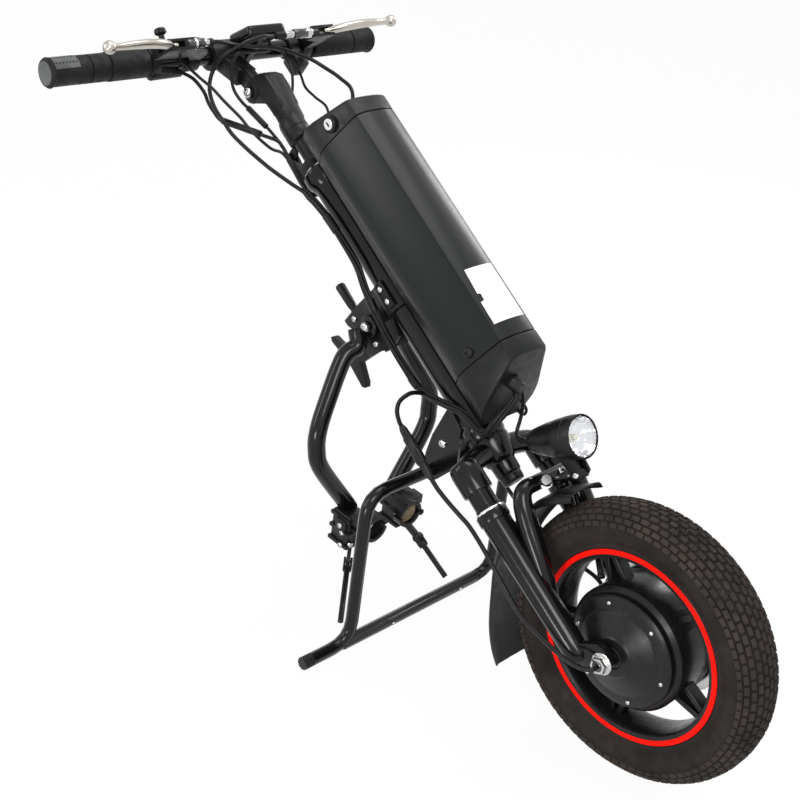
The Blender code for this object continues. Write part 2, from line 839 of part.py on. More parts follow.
def battery_prism(name, low, high, outlines):
    sheet = outline_curve(name, outlines, high - low)
    item = link_object(name, sheet, (0.0, 0.0, (low + high) / 2))
    return settle(item)


def battery_case():
    item = battery_prism(
        "battery_case",
        BATTERY_BOTTOM_SEAM + GAP / 2,
        BATTERY_TOP_SEAM - GAP / 2,
        [battery_outline(), battery_outline(0.0022)],
    )
    return keep(item, "battery_case", DARK_CASE)


def battery_top_cap():
    item = battery_prism("battery_top_cap", BATTERY_TOP_SEAM + GAP / 2, 0.700, [battery_outline()])
    slope = block("top_slope", (0.0, -0.0800, 0.7060), (0.2, 0.2, 0.05), 0.0, (0.222, 0.0, 0.0))
    lock = rod("lock_bore", (-0.060, -0.0920, 0.6630), (-0.028, -0.0920, 0.6630), 0.0073, 20)
    cut(item, slope, lock)
    return keep(item, "battery_top_cap", DARK_CASE)


def battery_bottom_cap():
    item = battery_prism("battery_bottom_cap", 0.270, BATTERY_BOTTOM_SEAM - GAP / 2, [battery_outline()])
    slope = block("bottom_slope", (0.0, -0.0800, 0.2720), (0.2, 0.2, 0.05), 0.0, (-0.370, 0.0, 0.0))
    cut(item, slope)
    return keep(item, "battery_bottom_cap", DARK_CASE)


def cell_pack():
    item = battery_prism("cell_pack", 0.350, 0.640, [battery_outline(0.0050)])
    return keep(item, "cell_pack", CELL_WRAP)


def key_barrel():
    centre = Vector((-0.0400, -0.0920, 0.6630))
    item = rod("key_barrel", centre + Vector((-0.0035, 0, 0)), centre + Vector((0.0105, 0, 0)), 0.0070, 20)
    slot = block("key_slot", centre + Vector((-0.0035, 0, 0)), (0.003, 0.0014, 0.0060))
    cut(item, slot)
    return keep(item, "key_barrel", BRIGHT_STEEL)


BRACKET_PLATE = [
    (0.012, 0.5000),
    (0.055, 0.5025),
    (0.088, 0.5020),
    (0.088, 0.4945),
    (0.083, 0.4840),
    (0.084, 0.4450),
    (0.060, 0.4390),
    (0.042, 0.4310),
    (0.020, 0.4350),
    (0.012, 0.4560),
]


def frame_bracket():
    outer = COLUMN_RADIUS + GAP
    collar = [(0.0235, 0.4970), (0.0235, 0.4580), (outer, 0.4580), (outer, 0.4970)]
    item = turned("frame_bracket", collar, (0.0, 0.0, 0.0))
    front = block("battery_side", (0.0, -0.0325, 0.4780), (0.06, 0.0240, 0.06))
    cut(item, front)
    barrel_hole = circle((BARREL.y, BARREL.z), BARREL_PIN + RUNNING_GAP, 16)
    for side in (-1, 1):
        plate = side_plate("bracket_plate", [BRACKET_PLATE, barrel_hole], side * BRACKET_X, 0.0030)
        ear = block("pinch_ear", (side * 0.0235, -0.0070, 0.4790), (0.0060, 0.0120, 0.0340), 0.001)
        for piece in (plate, ear):
            cut(piece, rod("column_space", (0.0, 0.0, 0.40), (0.0, 0.0, 0.55), outer, ROUND))
            add(item, piece)
    web = block("pin_web", (0.0, LOCK_PIN_Y + 0.0015, 0.4980), (0.0290, 0.0160, 0.0060))
    web_hole = rod("pin_hole", (0.0, LOCK_PIN_Y, 0.47), (0.0, LOCK_PIN_Y, 0.53), 0.0031, 16)
    ends = Vector((0.0145, 0.0, 0.0))
    lever_pin = rod("lever_pin", FRAME_LEVER_HINGE - ends, FRAME_LEVER_HINGE + ends, 0.0025, 12)
    add(item, web, lever_pin)
    cut(item, web_hole)
    return keep(item, "frame_bracket", SATIN_BLACK)


def lock_pin():
    shoulder = 0.5013
    profile = [
        (0.0, 0.5460),
        (0.0052, 0.5460),
        (0.0066, 0.5435),
        (0.0056, 0.5160),
        (0.0048, 0.5100),
        (0.0048, shoulder),
        (0.0030, shoulder),
        (0.0030, 0.4865),
        (0.0, 0.4865),
    ]
    place = (0.0, LOCK_PIN_Y, shoulder)
    item = turned("lock_pin", [(r, z - shoulder) for r, z in profile], place, steps=16, closed=False)
    return keep(item, "lock_pin", BLACK_PLASTIC)


def frame_lever():
    outline = [
        (0.0735, 0.4480),
        (0.0790, 0.4462),
        (0.1160, 0.4530),
        (0.1270, 0.4300),
        (0.1320, 0.4260),
        (0.1365, 0.4300),
        (0.1345, 0.4640),
        (0.1410, 0.5020),
        (0.1380, 0.5070),
        (0.1330, 0.5040),
        (0.1220, 0.4700),
        (0.0810, 0.4580),
        (0.0740, 0.4560),
    ]
    hinge = (FRAME_LEVER_HINGE.y, FRAME_LEVER_HINGE.z)
    item = side_plate("frame_lever", [outline, circle(hinge, 0.0025 + RUNNING_GAP)], 0.0, 0.0090, hinge)
    return keep(item, "frame_lever", BLACK_PLASTIC)


# Stand

def stand():
    near_low = from_ground(-STAND_FOOT_X, STAND_FOOT_Y, STAND_TUBE)
    far_low = from_ground(STAND_FOOT_X, STAND_FOOT_Y, STAND_TUBE)
    foot = from_ground(FOOT_REACH, STAND_FOOT_Y, STAND_TUBE)
    near_top = Vector((-STAND_TOP_X, STAND_PIVOT.y, STAND_PIVOT.z))
    far_top = Vector((STAND_TOP_X, STAND_PIVOT.y, STAND_PIVOT.z))
    bend = 0.030

    def corner(before, middle, after):
        start = middle + (before - middle).normalized() * bend
        end = middle + (after - middle).normalized() * bend
        return [
            start * (1 - t) ** 2 + middle * 2 * t * (1 - t) + end * t * t
            for t in (0.0, 0.25, 0.5, 0.75, 1.0)
        ]

    path = [foot]
    path += corner(foot, near_low, near_top)
    path += corner(near_low, near_top, far_top)
    path += corner(near_top, far_top, far_low)
    path += corner(far_top, far_low, near_low)
    item = settle(tube("stand", path, STAND_TUBE, origin=STAND_PIVOT))
    brace = tube("cross_bar", [path[-1], near_low - Vector((0.012, 0.0, 0.0))], STAND_TUBE)
    add(item, brace)
    return keep(item, "stand", GLOSS_BLACK)


# Docking frame and clamps


def frame_side(side):
    marks = [
        BARREL + Vector((side * 0.0285, 0.0130, 0.0060)),
        BARREL + Vector((side * 0.0310, 0.0240, -0.0100)),
        from_ground(side * 0.0490, 0.448, 0.303),
        from_ground(side * 0.0790, 0.4370, 0.2550),
        from_ground(side * 0.0940, 0.4300, 0.2250),
        from_ground(side * 0.0960, 0.4270, 0.2000),
        from_ground(side * 0.0880, 0.4230, 0.1720),
        from_ground(side * 0.0410, 0.4170, 0.1060),
        from_ground(side * 0.0340, 0.4161, 0.0965),
    ]
    return tube("frame_side", through(marks, 0.022), FRAME_TUBE)


def docking_frame():
    def out(distance):
        return BARREL + Vector((distance, 0.0, 0.0))

    item = rod("docking_frame", out(-0.0118), out(0.0118), 0.0130, ROUND)
    pin = rod("barrel_pin", out(-0.0200), out(0.0200), BARREL_PIN, 16)
    disc = rod("lock_disc", out(-0.0050), out(0.0050), 0.0222, ROUND)
    add(item, pin, disc)
    for side in (-1, 1):
        cheek = rod("barrel_end", out(side * 0.0154), out(side * 0.0232), 0.0130, 16)
        bolt = rod("barrel_bolt", out(side * 0.0220), out(side * 0.0272), 0.0068, 12)
        middle = from_ground(side * 0.050, 0.416, 0.0840)
        saddle = block("saddle_cut", middle, (0.12, 0.08, 0.0406), 0.0, LEVEL)
        limb = settle(frame_side(side))
        cut(limb, saddle)
        add(item, cheek, bolt, limb)
    return keep(item, "docking_frame", GLOSS_BLACK)


def ground_plate(name, outlines, y, thickness):
    """Plate across the ground's Y axis, with its outline as (x, height) pairs."""
    item = link_object(name, outline_curve(name, outlines, thickness), from_ground(0.0, y, 0.0))
    upright = Matrix.Rotation(math.pi / 2, 3, "X")
    level = Matrix.Rotation(math.pi / 2 - RECLINE, 3, "X")
    item.rotation_euler = (level @ upright).to_euler()
    return settle(item)


def ring_outline(side, start, end, inner, outer):
    """Part of a ring about the clamp's hole, between two angles."""
    steps = 10
    arc = []
    for radius, order in ((outer, range(steps + 1)), (inner, range(steps, -1, -1))):
        for step in order:
            angle = math.radians(start + (end - start) * step / steps)
            across = CLAMP_HOLE[0] + radius * math.cos(angle)
            arc.append((side * across, CLAMP_HOLE[1] + radius * math.sin(angle)))
    return arc


def clamp_lug(side):
    """Hinge of a clamp's cam lever: its pivot, the lever's direction and the hinge axis."""
    pivot = from_ground(*CAM_PIVOTS[side])
    along = (from_ground(*CAM_TIPS[side]) - pivot).normalized()
    level = from_ground(0.0, 0.0, 1.0) - from_ground(0.0, 0.0, 0.0)
    return pivot, along, along.cross(level).normalized()


def clamp_body(side, name):
    def ground(x, y, z):
        return from_ground(side * x, y, z)

    item = block(name, ground(0.0440, 0.4080, 0.0790), (0.0270, 0.0310, 0.0500), 0.002, LEVEL)
    ring = ring_outline(side, 8, 172, CLAMP_BORE, CLAMP_BORE + CLAMP_WALL)
    arch = ground_plate(name + "_arch", [ring], 0.3830, 0.0240)
    web = block(name + "_web", ground(0.0450, 0.3860, 0.1020), (0.0200, 0.0180, 0.0130), 0.001, LEVEL)
    bore = rod(name + "_bore", ground(0.0300, 0.35, 0.0900), ground(0.0300, 0.3925, 0.0900), CLAMP_BORE, 20)
    cut(web, bore)
    hinge_x, hinge_z = JAW_HINGE
    front = ground(hinge_x, 0.3705, hinge_z)
    jaw_pin = rod(name + "_pin", front, ground(hinge_x, 0.3960, hinge_z), 0.0020, 12)
    add(item, arch, web, jaw_pin)
    pivot, _, axis = clamp_lug(side)
    eye = rod(name + "_eye", pivot - axis * 0.0025, pivot + axis * 0.0025, 0.0055, 14)
    root = ground(*CAM_ROOTS[side])
    root -= axis * (root - pivot).dot(axis)
    arm = bar(name + "_arm", pivot + (root - pivot).normalized() * 0.002, root, 0.0090, 0.0050, axis)
    hole = rod(name + "_hole", pivot - axis * 0.01, pivot + axis * 0.01, 0.0020 + RUNNING_GAP, 16)
    add(item, eye, arm)
    cut(item, hole)
    return keep(item, name, SATIN_BLACK)


def clamp_jaw(side, name):
    """Lower half of the clamp ring, hinged outboard, drawn about its hinge."""
    hinge_x, hinge_z = JAW_HINGE
    ring = ring_outline(side, 188, 352, CLAMP_BORE, CLAMP_BORE + CLAMP_WALL)
    lower = ground_plate(name, [ring], 0.3780, 0.0130)
    knuckle = ground_plate(name + "_eye", [circle((side * hinge_x, hinge_z), 0.0042, 14)], 0.3780, 0.0130)
    front = from_ground(side * hinge_x, 0.36, hinge_z)
    back = from_ground(side * hinge_x, 0.40, hinge_z)
    add(lower, knuckle)
    cut(lower, rod(name + "_hole", front, back, 0.0020 + RUNNING_GAP, 16))
    return keep(lower, name, SATIN_BLACK)


def clamp_lever(side, name):
    pivot, along, axis = clamp_lug(side)
    item = rod(name, pivot - axis * 0.0056, pivot + axis * 0.0056, 0.0020, 12)
    for hand in (-1, 1):
        inner = pivot + axis * hand * 0.0028
        outer = pivot + axis * hand * 0.0056
        cheek = rod(name + "_cheek", inner, outer, 0.0052, 12)
        middle = pivot + axis * hand * 0.0042
        arm = bar(name + "_arm", middle + along * 0.002, middle + along * 0.0125, 0.0070, 0.0028, axis)
        add(item, cheek, arm)
    bridge = bar(name + "_bridge", pivot + along * 0.0085, pivot + along * 0.0150, 0.0064, 0.0100, axis)
    handle = rod(name + "_handle", pivot + along * 0.0130, from_ground(*CAM_TIPS[side]), 0.0036, 10)
    add(item, bridge, handle)
    return keep(item, name, BLACK_PLASTIC)


# Handlebar, stem and controls


def stem_body():
    """Quill and the fixed part of the stem, with two cheeks for the pivot bolt."""
    outline = [
        (-0.0165, 0.7150),
        (-0.0205, 0.7400),
        (-0.0235, 0.7780),
        (-0.0225, 0.7960),
        (-0.0120, 0.8075),
        (0.0060, 0.8120),
        (0.0180, 0.8140),
        (0.0280, 0.8100),
        (0.0320, 0.8000),
        (0.0290, 0.7910),
        (0.0130, 0.7800),
        (0.0060, 0.7620),
        (0.0060, 0.7250),
        (0.0110, 0.7150),
    ]
    shaft = [
        (0.0, 0.7400),
        (0.0165, 0.7400),
        (0.0165, 0.7085),
        (0.0110, 0.7060),
        (0.0110, 0.5750),
        (0.0, 0.5750),
    ]
    item = turned("quill_stem", shaft, (0.0, 0.0, 0.0), closed=False, turn=math.pi / ROUND)
    cheeks = side_plate("stem_cheeks", [outline], 0.0, 0.0290)
    add(item, cheeks)
    slot = block("stem_slot", (0.0, 0.0240, 0.8056), (0.0136, 0.0380, 0.0500))
    across = Vector((0.03, 0.0, 0.0))
    hole = rod("pivot_hole", STEM_PIVOT - across, STEM_PIVOT + across, 0.0046, 16)
    cut(item, slot, hole)
    lug_outline = [
        (0.0100, 0.7125),
        (0.0330, 0.7120),
        (0.0350, 0.7060),
        (0.0330, 0.7000),
        (0.0230, 0.7000),
        (0.0125, 0.7098),
    ]
    lug = side_plate("latch_lug", [lug_outline], 0.0, 0.0050)
    lug_hole = rod("latch_hole", LATCH_HINGE - across, LATCH_HINGE + across, 0.0021, 12)
    add(item, lug)
    cut(item, lug_hole)
    return keep(item, "quill_stem", SATIN_BLACK)


def height_lever():
    outline = [
        (0.0262, 0.7090),
        (0.0330, 0.7110),
        (0.0360, 0.7060),
        (0.0385, 0.6700),
        (0.0360, 0.6480),
        (0.0300, 0.6450),
        (0.0280, 0.6600),
        (0.0290, 0.6850),
        (0.0262, 0.7000),
    ]
    item = side_plate("height_lever", [outline], 0.0, 0.0130, (LATCH_HINGE.y, LATCH_HINGE.z))
    slot = block("latch_slot", (0.0, 0.0280, 0.7110), (0.0056, 0.0360, 0.0300))
    ends = Vector((0.0060, 0.0, 0.0))
    pin = rod("latch_pin", LATCH_HINGE - ends, LATCH_HINGE + ends, 0.0020, 12)
    cut(item, slot)
    add(item, pin)
    return keep(item, "height_lever", BLACK_PLASTIC)


def stem_arm():
    """Tilting part of the stem with its bolt and the bar clamp."""
    outline = [
        (0.0080, 0.8000),
        (0.0110, 0.7925),
        (0.0180, 0.7893),
        (0.0260, 0.7930),
        (0.0290, 0.8000),
        (0.0350, 0.8300),
        (0.0480, 0.8560),
        (0.0300, 0.8640),
        (0.0130, 0.8350),
    ]
    item = side_plate("stem_arm", [outline], 0.0, 0.0130, (STEM_PIVOT.y, STEM_PIVOT.z))
    neck_outline = [(0.0165, 0.8330), (0.0350, 0.8250), (0.0500, 0.8620), (0.0280, 0.8640)]
    neck = side_plate("stem_neck", [neck_outline], 0.0, 0.0270)

    def across(centre, distance):
        return centre + Vector((distance, 0.0, 0.0))

    clamp = rod("bar_clamp", across(BAR_CENTRE, -0.0225), across(BAR_CENTRE, 0.0225), 0.0185, ROUND)
    bolt = rod("pivot_bolt", across(STEM_PIVOT, -0.0170), across(STEM_PIVOT, 0.0170), 0.0045, 16)
    bore = rod("bar_bore", across(BAR_CENTRE, -0.05), across(BAR_CENTRE, 0.05), BAR_RADIUS + GAP, ROUND)
    add(item, neck, clamp, bolt)
    for side in (-1, 1):
        inner = across(STEM_PIVOT, side * 0.0150)
        add(item, rod("bolt_head", inner, across(STEM_PIVOT, side * 0.0185), 0.0075, 16))
    cut(item, bore)
    return keep(item, "stem_arm", SATIN_BLACK)


def handlebar():
    end = BAR_HALF_LENGTH - 0.004
    inner = BAR_RADIUS - 0.0022
    profile = [(BAR_RADIUS, end), (BAR_RADIUS, -end), (inner, -end), (inner, end)]
    item = turned("handlebar", profile, BAR_CENTRE, ACROSS, 16)
    return keep(item, "handlebar", GLOSS_BLACK)


def grip(name, outer_end, inner_end, radius):
    side = 1 if outer_end > 0 else -1
    middle = (outer_end + inner_end) / 2
    half = abs(outer_end - inner_end) / 2
    bore = BAR_RADIUS + GAP
    profile = [
        (0.0, half),
        (radius, half),
        (radius + 0.0010, half - 0.0015),
        (radius, half - 0.0040),
        (radius - 0.0005, -half + 0.001),
        (radius - 0.0015, -half),
        (bore, -half),
        (bore, half - 0.0037),
        (0.0, half - 0.0037),
    ]
    item = turned(name, profile, (middle, BAR_Y, BAR_Z), (side, 0.0, 0.0), 20, closed=False)
    return keep(item, name, SOFT_RUBBER)


def throttle_sleeve():
    bore = BAR_RADIUS + RUNNING_GAP
    half = 0.0272
    profile = [(0.0175, half), (0.0175, -half), (bore, -half), (bore, half)]
    item = turned("throttle_sleeve", profile, (-0.1435, BAR_Y, BAR_Z), ACROSS, 32)
    return keep(item, "throttle_sleeve", SOFT_RUBBER)


def throttle_housing():
    bore = BAR_RADIUS + GAP
    profile = [(0.0165, 0.0055), (0.0182, 0.0035), (0.0182, -0.0080), (bore, -0.0080), (bore, 0.0055)]
    item = turned("throttle_housing", profile, (-0.1078, BAR_Y, BAR_Z), ACROSS, ROUND)
    spout = rod("housing_spout", THROTTLE_EXIT - THROTTLE_SPOUT, THROTTLE_EXIT, 0.0125, 16, 0.0048)
    space = rod("housing_bore", (-0.15, BAR_Y, BAR_Z), (-0.05, BAR_Y, BAR_Z), bore, ROUND)
    add(item, spout)
    cut(item, space)
    return keep(item, "throttle_housing", BLACK_PLASTIC)


def in_lever_plane(x, reach, rise=0.0):
    """Point at a distance from the bar's axis, in the plane the brake levers move in."""
    return Vector((x, BAR_Y, BAR_Z)) + REACH * reach - LEVER_AXIS * rise


def lever_plate(name, outlines, thickness, rise=0.0, origin=(0.0, 0.0)):
    """Plate in the brake levers' plane, with its outline as (x, reach) pairs."""
    moved = [[(x - origin[0], reach - origin[1]) for x, reach in outline] for outline in outlines]
    place = in_lever_plane(origin[0], origin[1], rise)
    item = link_object(name, outline_curve(name, moved, thickness), place)
    basis = Matrix((Vector((1, 0, 0)), REACH, Vector((1, 0, 0)).cross(REACH))).transposed()
    item.rotation_euler = basis.to_euler()
    return settle(item)


def lever_perch(side, name, ring_x, body, barrel):
    """Clamp ring, body with the lever's slot, and a cable barrel given as (x, radius) steps."""
    bore = BAR_RADIUS + GAP
    ring = [(0.0160, 0.0075), (0.0160, -0.0075), (bore, -0.0075), (bore, 0.0075)]
    item = turned(name, ring, (side * ring_x, BAR_Y, BAR_Z), ACROSS, ROUND)
    slab = lever_plate(name + "_slab", [[(side * x, reach) for x, reach in body]], 0.0140)
    mouth = [(0.1040, 0.050), (0.15, 0.050), (0.15, 0.110), (0.1040, 0.110)]
    slot = lever_plate(name + "_slot", [[(side * x, reach) for x, reach in mouth]], 0.0072)
    pivot = in_lever_plane(side * LEVER_PIVOT_X, LEVER_PIVOT_REACH)
    pin = rod(name + "_pin", pivot - LEVER_AXIS * 0.0065, pivot + LEVER_AXIS * 0.0065, 0.0025, 12)
    inner = (side * ring_x - 0.02, BAR_Y, BAR_Z)
    space = rod(name + "_bore", inner, (side * ring_x + 0.02, BAR_Y, BAR_Z), bore, ROUND)
    cut(slab, slot)
    add(item, slab, pin)
    start = 0.1000
    for end, radius in barrel:
        near = in_lever_plane(side * start, BARREL_REACH)
        far = in_lever_plane(side * end, BARREL_REACH)
        add(item, rod(name + "_barrel", near, far, radius, 14))
        start = end + 0.0010
    cut(item, space)
    return keep(item, name, BLACK_PLASTIC)


def right_perch():
    body = [
        (0.0460, 0.0130),
        (0.0600, 0.0130),
        (0.0780, 0.0360),
        (0.1280, 0.0360),
        (0.1280, 0.0740),
        (0.0900, 0.0740),
        (0.0680, 0.0640),
        (0.0520, 0.0400),
    ]
    item = lever_perch(-1, "lever_perch_right", 0.0530, body, ((0.0755, 0.0060), (0.0620, 0.0048)))
    deep = in_lever_plane(KNOB_X, KNOB_REACH, 0.0015)
    return cut(item, rod("knob_hole", deep, in_lever_plane(KNOB_X, KNOB_REACH, 0.0200), 0.0036, 16))


def left_perch():
    body = [
        (0.1230, 0.0130),
        (0.1370, 0.0130),
        (0.1330, 0.0450),
        (0.1290, 0.0560),
        (0.1290, 0.0740),
        (0.0930, 0.0740),
        (0.0930, 0.0580),
        (0.1160, 0.0460),
    ]
    return lever_perch(1, "lever_perch_left", 0.1300, body, ((0.0790, 0.0058), (0.0360, 0.0048)))


def brake_lever(side, name):
    outline = [
        (0.1120, 0.0610),
        (0.1240, 0.0590),
        (0.1500, 0.0740),
        (0.1800, 0.0820),
        (0.2080, 0.0830),
        (0.2160, 0.0880),
        (0.2080, 0.0950),
        (0.1700, 0.0980),
        (0.1350, 0.0880),
        (0.1160, 0.0740),
        (0.1100, 0.0700),
    ]
    pivot = (side * LEVER_PIVOT_X, LEVER_PIVOT_REACH)
    shape = [(side * x, reach) for x, reach in outline]
    blade = lever_plate(name, [shape, circle(pivot, 0.0025 + RUNNING_GAP)], 0.0066, 0.0, pivot)
    tip = ball(name + "_tip", in_lever_plane(side * 0.2160, 0.0895), 0.0072)
    add(blade, tip)
    return keep(blade, name, POLISHED_ALUMINIUM)


def parking_knob():
    profile = [
        (0.0, 0.0200),
        (0.0050, 0.0200),
        (0.0072, 0.0170),
        (0.0072, 0.0130),
        (0.0035, 0.0110),
        (0.0035, 0.0),
        (0.0, 0.0),
    ]
    base = in_lever_plane(KNOB_X, KNOB_REACH, 0.0073)
    item = turned("parking_knob", profile, base, -LEVER_AXIS, 16, closed=False)
    return keep(item, "parking_knob", BLACK_PLASTIC)


def display():
    item = block("display", DISPLAY_CENTRE, (0.0580, 0.0450, 0.0150), 0.005, (DISPLAY_TILT, 0.0, 0.0))
    strap_outline = [
        (BAR_Y - 0.0060, BAR_Z + 0.0150),
        (0.0050, 0.8800),
        (-0.0050, 0.8640),
        (0.0100, 0.8600),
        (0.0300, 0.8640),
        (BAR_Y + 0.0060, 0.8635),
        (BAR_Y + 0.0130, 0.8790),
        (BAR_Y + 0.0070, 0.8930),
    ]
    strap = side_plate("display_arm", [strap_outline], DISPLAY_CENTRE.x, 0.0090)
    bore = rod("display_bore", (0.0, BAR_Y, BAR_Z), (0.08, BAR_Y, BAR_Z), BAR_RADIUS + GAP, ROUND)
    add(item, strap)
    cut(item, bore)
    return keep(item, "display", BLACK_PLASTIC)


def switch_box():
    bore = BAR_RADIUS + GAP
    profile = [(0.0150, 0.0070), (0.0150, -0.0070), (bore, -0.0070), (bore, 0.0070)]
    item = turned("switch_box", profile, (0.1080, BAR_Y, BAR_Z), ACROSS, ROUND)
    box = block("switch_case", (0.0980, 0.0330, 0.8480), (0.0200, 0.0260, 0.0260), 0.004)
    neck = block("switch_neck", (0.1045, 0.0360, 0.8620), (0.0060, 0.0120, 0.0120))
    space = rod("switch_bore", (0.05, BAR_Y, BAR_Z), (0.15, BAR_Y, BAR_Z), bore, ROUND)
    add(item, box, neck)
    cut(item, space)
    return keep(item, "switch_box", BLACK_PLASTIC)


# Cables

def wire(name, points, radius, pitch=WIRE_PITCH):
    """Cable route with a straight lead at each end."""
    return tube(name, [points[0], *through(points[1:-1], pitch), points[-1]], radius)


def brake_cable_right():
    start = in_lever_plane(-0.0617, BARREL_REACH)
    route = [
        start,
        start + Vector((0.006, 0.0, 0.0)),
        (-0.0450, -0.0195, 0.8500),
        (-0.0260, -0.0121, 0.8509),
        (0.0040, -0.0071, 0.8491),
        (0.0330, -0.0068, 0.8450),
        (0.0600, -0.0053, 0.8362),
        (0.0830, -0.0056, 0.8213),
        (0.0960, -0.0070, 0.8040),
        (0.1030, -0.0128, 0.7810),
        (0.1000, -0.0200, 0.7520),
        (0.0880, 0.0040, 0.7220),
        (0.0660, 0.0200, 0.7040),
        (0.0440, 0.0260, 0.6940),
        (0.0410, 0.0265, 0.6920),
    ]
    return keep(wire("brake_cable_right", route, 0.0025), "brake_cable_right", CABLE_BLACK)


def brake_cable_left():
    start = in_lever_plane(0.0357, BARREL_REACH)
    route = [
        start,
        start - Vector((0.006, 0.0, 0.0)),
        (0.0220, -0.0245, 0.8480),
        (0.0060, -0.0273, 0.8458),
        (-0.0220, -0.0143, 0.8448),
        (-0.0400, -0.0011, 0.8425),
        (-0.0500, 0.0164, 0.8375),
        (-0.0570, 0.0273, 0.8259),
        (-0.0610, 0.0327, 0.8117),
        (-0.0630, 0.0350, 0.7936),
        (-0.0630, 0.0340, 0.7742),
        (-0.0610, 0.0350, 0.7561),
        (-0.0580, 0.0304, 0.7315),
        (-0.0530, 0.0252, 0.7063),
        (-0.0505, 0.0210, 0.6920),
        (-0.0500, 0.0200, 0.6880),
    ]
    return keep(wire("brake_cable_left", route, 0.0025), "brake_cable_left", CABLE_BLACK)


def control_harness():
    """Throttle, brake switch and display leads, gathered by a sleeve below the stem."""
    outward = THROTTLE_SPOUT.normalized()
    throttle = [
        THROTTLE_EXIT + outward * GAP,
        THROTTLE_EXIT + outward * 0.0045,
        (-0.0580, 0.0460, 0.8500),
        (-0.0560, 0.0445, 0.8285),
        (-0.0560, 0.0478, 0.8155),
        (-0.0560, 0.0479, 0.7998),
        (-0.0540, 0.0461, 0.7840),
        (-0.0480, 0.0304, 0.7607),
        (-0.0400, 0.0130, 0.7329),
        (-0.0330, 0.0030, 0.7153),
        (-0.0310, 0.0030, 0.7080),
        (-0.0300, 0.0040, 0.6980),
    ]
    switch = [
        in_lever_plane(-0.0920, 0.0401, -0.0073),
        in_lever_plane(-0.0920, 0.0401, -0.0120),
        (-0.0900, 0.0074, 0.8398),
        (-0.0850, 0.0048, 0.8200),
        (-0.0800, 0.0014, 0.8011),
        (-0.0730, 0.0024, 0.7796),
        (-0.0680, -0.0009, 0.7532),
        (-0.0640, 0.0006, 0.7388),
        (-0.0560, 0.0037, 0.7232),
        (-0.0430, 0.0080, 0.7080),
        (-0.0340, 0.0065, 0.7000),
        (-0.0300, 0.0050, 0.6960),
    ]
    below = Vector((0.0, math.sin(DISPLAY_TILT), -math.cos(DISPLAY_TILT)))
    socket_centre = DISPLAY_CENTRE + Vector((0.0160, 0.0, 0.0))
    screen = [
        socket_centre + below * 0.0078,
        socket_centre + below * 0.0130,
        (0.0440, 0.0075, 0.8525),
        (0.0200, 0.0060, 0.8510),
        (-0.0010, 0.0060, 0.8520),
        (-0.0100, 0.0075, 0.8500),
        (-0.0180, 0.0140, 0.8431),
        (-0.0250, 0.0202, 0.8300),
        (-0.0280, 0.0265, 0.8126),
        (-0.0280, 0.0256, 0.7928),
        (-0.0275, 0.0208, 0.7763),
        (-0.0260, 0.0159, 0.7532),
        (-0.0255, 0.0125, 0.7369),
        (-0.0260, 0.0084, 0.7161),
        (-0.0280, 0.0060, 0.7050),
        (-0.0300, 0.0060, 0.6940),
    ]
    branch = [
        socket_centre + below * 0.0120,
        (0.0500, 0.0062, 0.8530),
        (0.0555, 0.0030, 0.8430),
        (0.0530, 0.0023, 0.8177),
        (0.0480, 0.0081, 0.8002),
        (0.0400, 0.0168, 0.7806),
        (0.0300, 0.0300, 0.7450),
        (0.0225, 0.0365, 0.7050),
        (0.0220, 0.0370, 0.7000),
    ]
    item = rod("control_harness", (-0.0296, 0.0045, 0.7040), (-0.0302, 0.0060, 0.6850), 0.0060, 14)
    plug = rod("throttle_plug", (-0.0540, 0.0452, 0.7838), (-0.0345, 0.0040, 0.7195), 0.0042, 12)
    socket = rod("display_plug", (-0.0278, 0.0222, 0.7810), (-0.0257, 0.0140, 0.7440), 0.0036, 12)
    leads = [
        wire("throttle_lead", throttle, 0.0023),
        wire("switch_lead", switch, 0.0019),
        wire("screen_lead", screen, 0.0020),
        wire("screen_branch", branch, 0.0018),
    ]
    add(item, *leads, plug, socket)
    return keep(item, "control_harness", CABLE_BLACK)


def switch_cable():
    route = [
        (0.1000, 0.0400, 0.8347),
        (0.1000, 0.0405, 0.8310),
        (0.0980, 0.0430, 0.8145),
        (0.0940, 0.0338, 0.7911),
        (0.0880, 0.0204, 0.7625),
        (0.0720, 0.0220, 0.7330),
        (0.0480, 0.0330, 0.7120),
        (0.0380, 0.0380, 0.7040),
        (0.0360, 0.0385, 0.7020),
    ]
    return keep(wire("switch_cable", route, 0.0018), "switch_cable", CABLE_BLACK)


def cable_loom():
    """Wrapped bundle down the column and under the battery, to the battery's underside."""
    normal = Vector((0.0, 0.3616, 0.9323))
    end = Vector((-0.0120, -0.0880, 0.3019)) - normal * 0.0006
    route = [
        (-0.0290, 0.0110, 0.6400),
        (-0.0295, 0.0095, 0.6350),
        (-0.0305, 0.0046, 0.6200),
        (-0.0310, 0.0004, 0.5935),
        (-0.0310, -0.0008, 0.5590),
        (-0.0305, 0.0010, 0.5277),
        (-0.0310, 0.0095, 0.5008),
        (-0.0310, 0.0150, 0.4780),
        (-0.0305, 0.0200, 0.4500),
        (-0.0300, 0.0225, 0.4200),
        (-0.0300, 0.0228, 0.3950),
        (-0.0300, 0.0220, 0.3720),
        (-0.0305, 0.0126, 0.3512),
        (-0.0320, -0.0050, 0.3300),
        (-0.0340, -0.0215, 0.3100),
        (-0.0345, -0.0275, 0.2920),
        (-0.0345, -0.0300, 0.2800),
        (-0.0345, -0.0400, 0.2730),
        (-0.0340, -0.0550, 0.2750),
        (-0.0260, -0.0760, 0.2800),
        (-0.0150, -0.0890, 0.2870),
        end - normal * 0.0060,
        end,
    ]
    return keep(wire("cable_loom", route, 0.0050), "cable_loom", CABLE_BLACK)


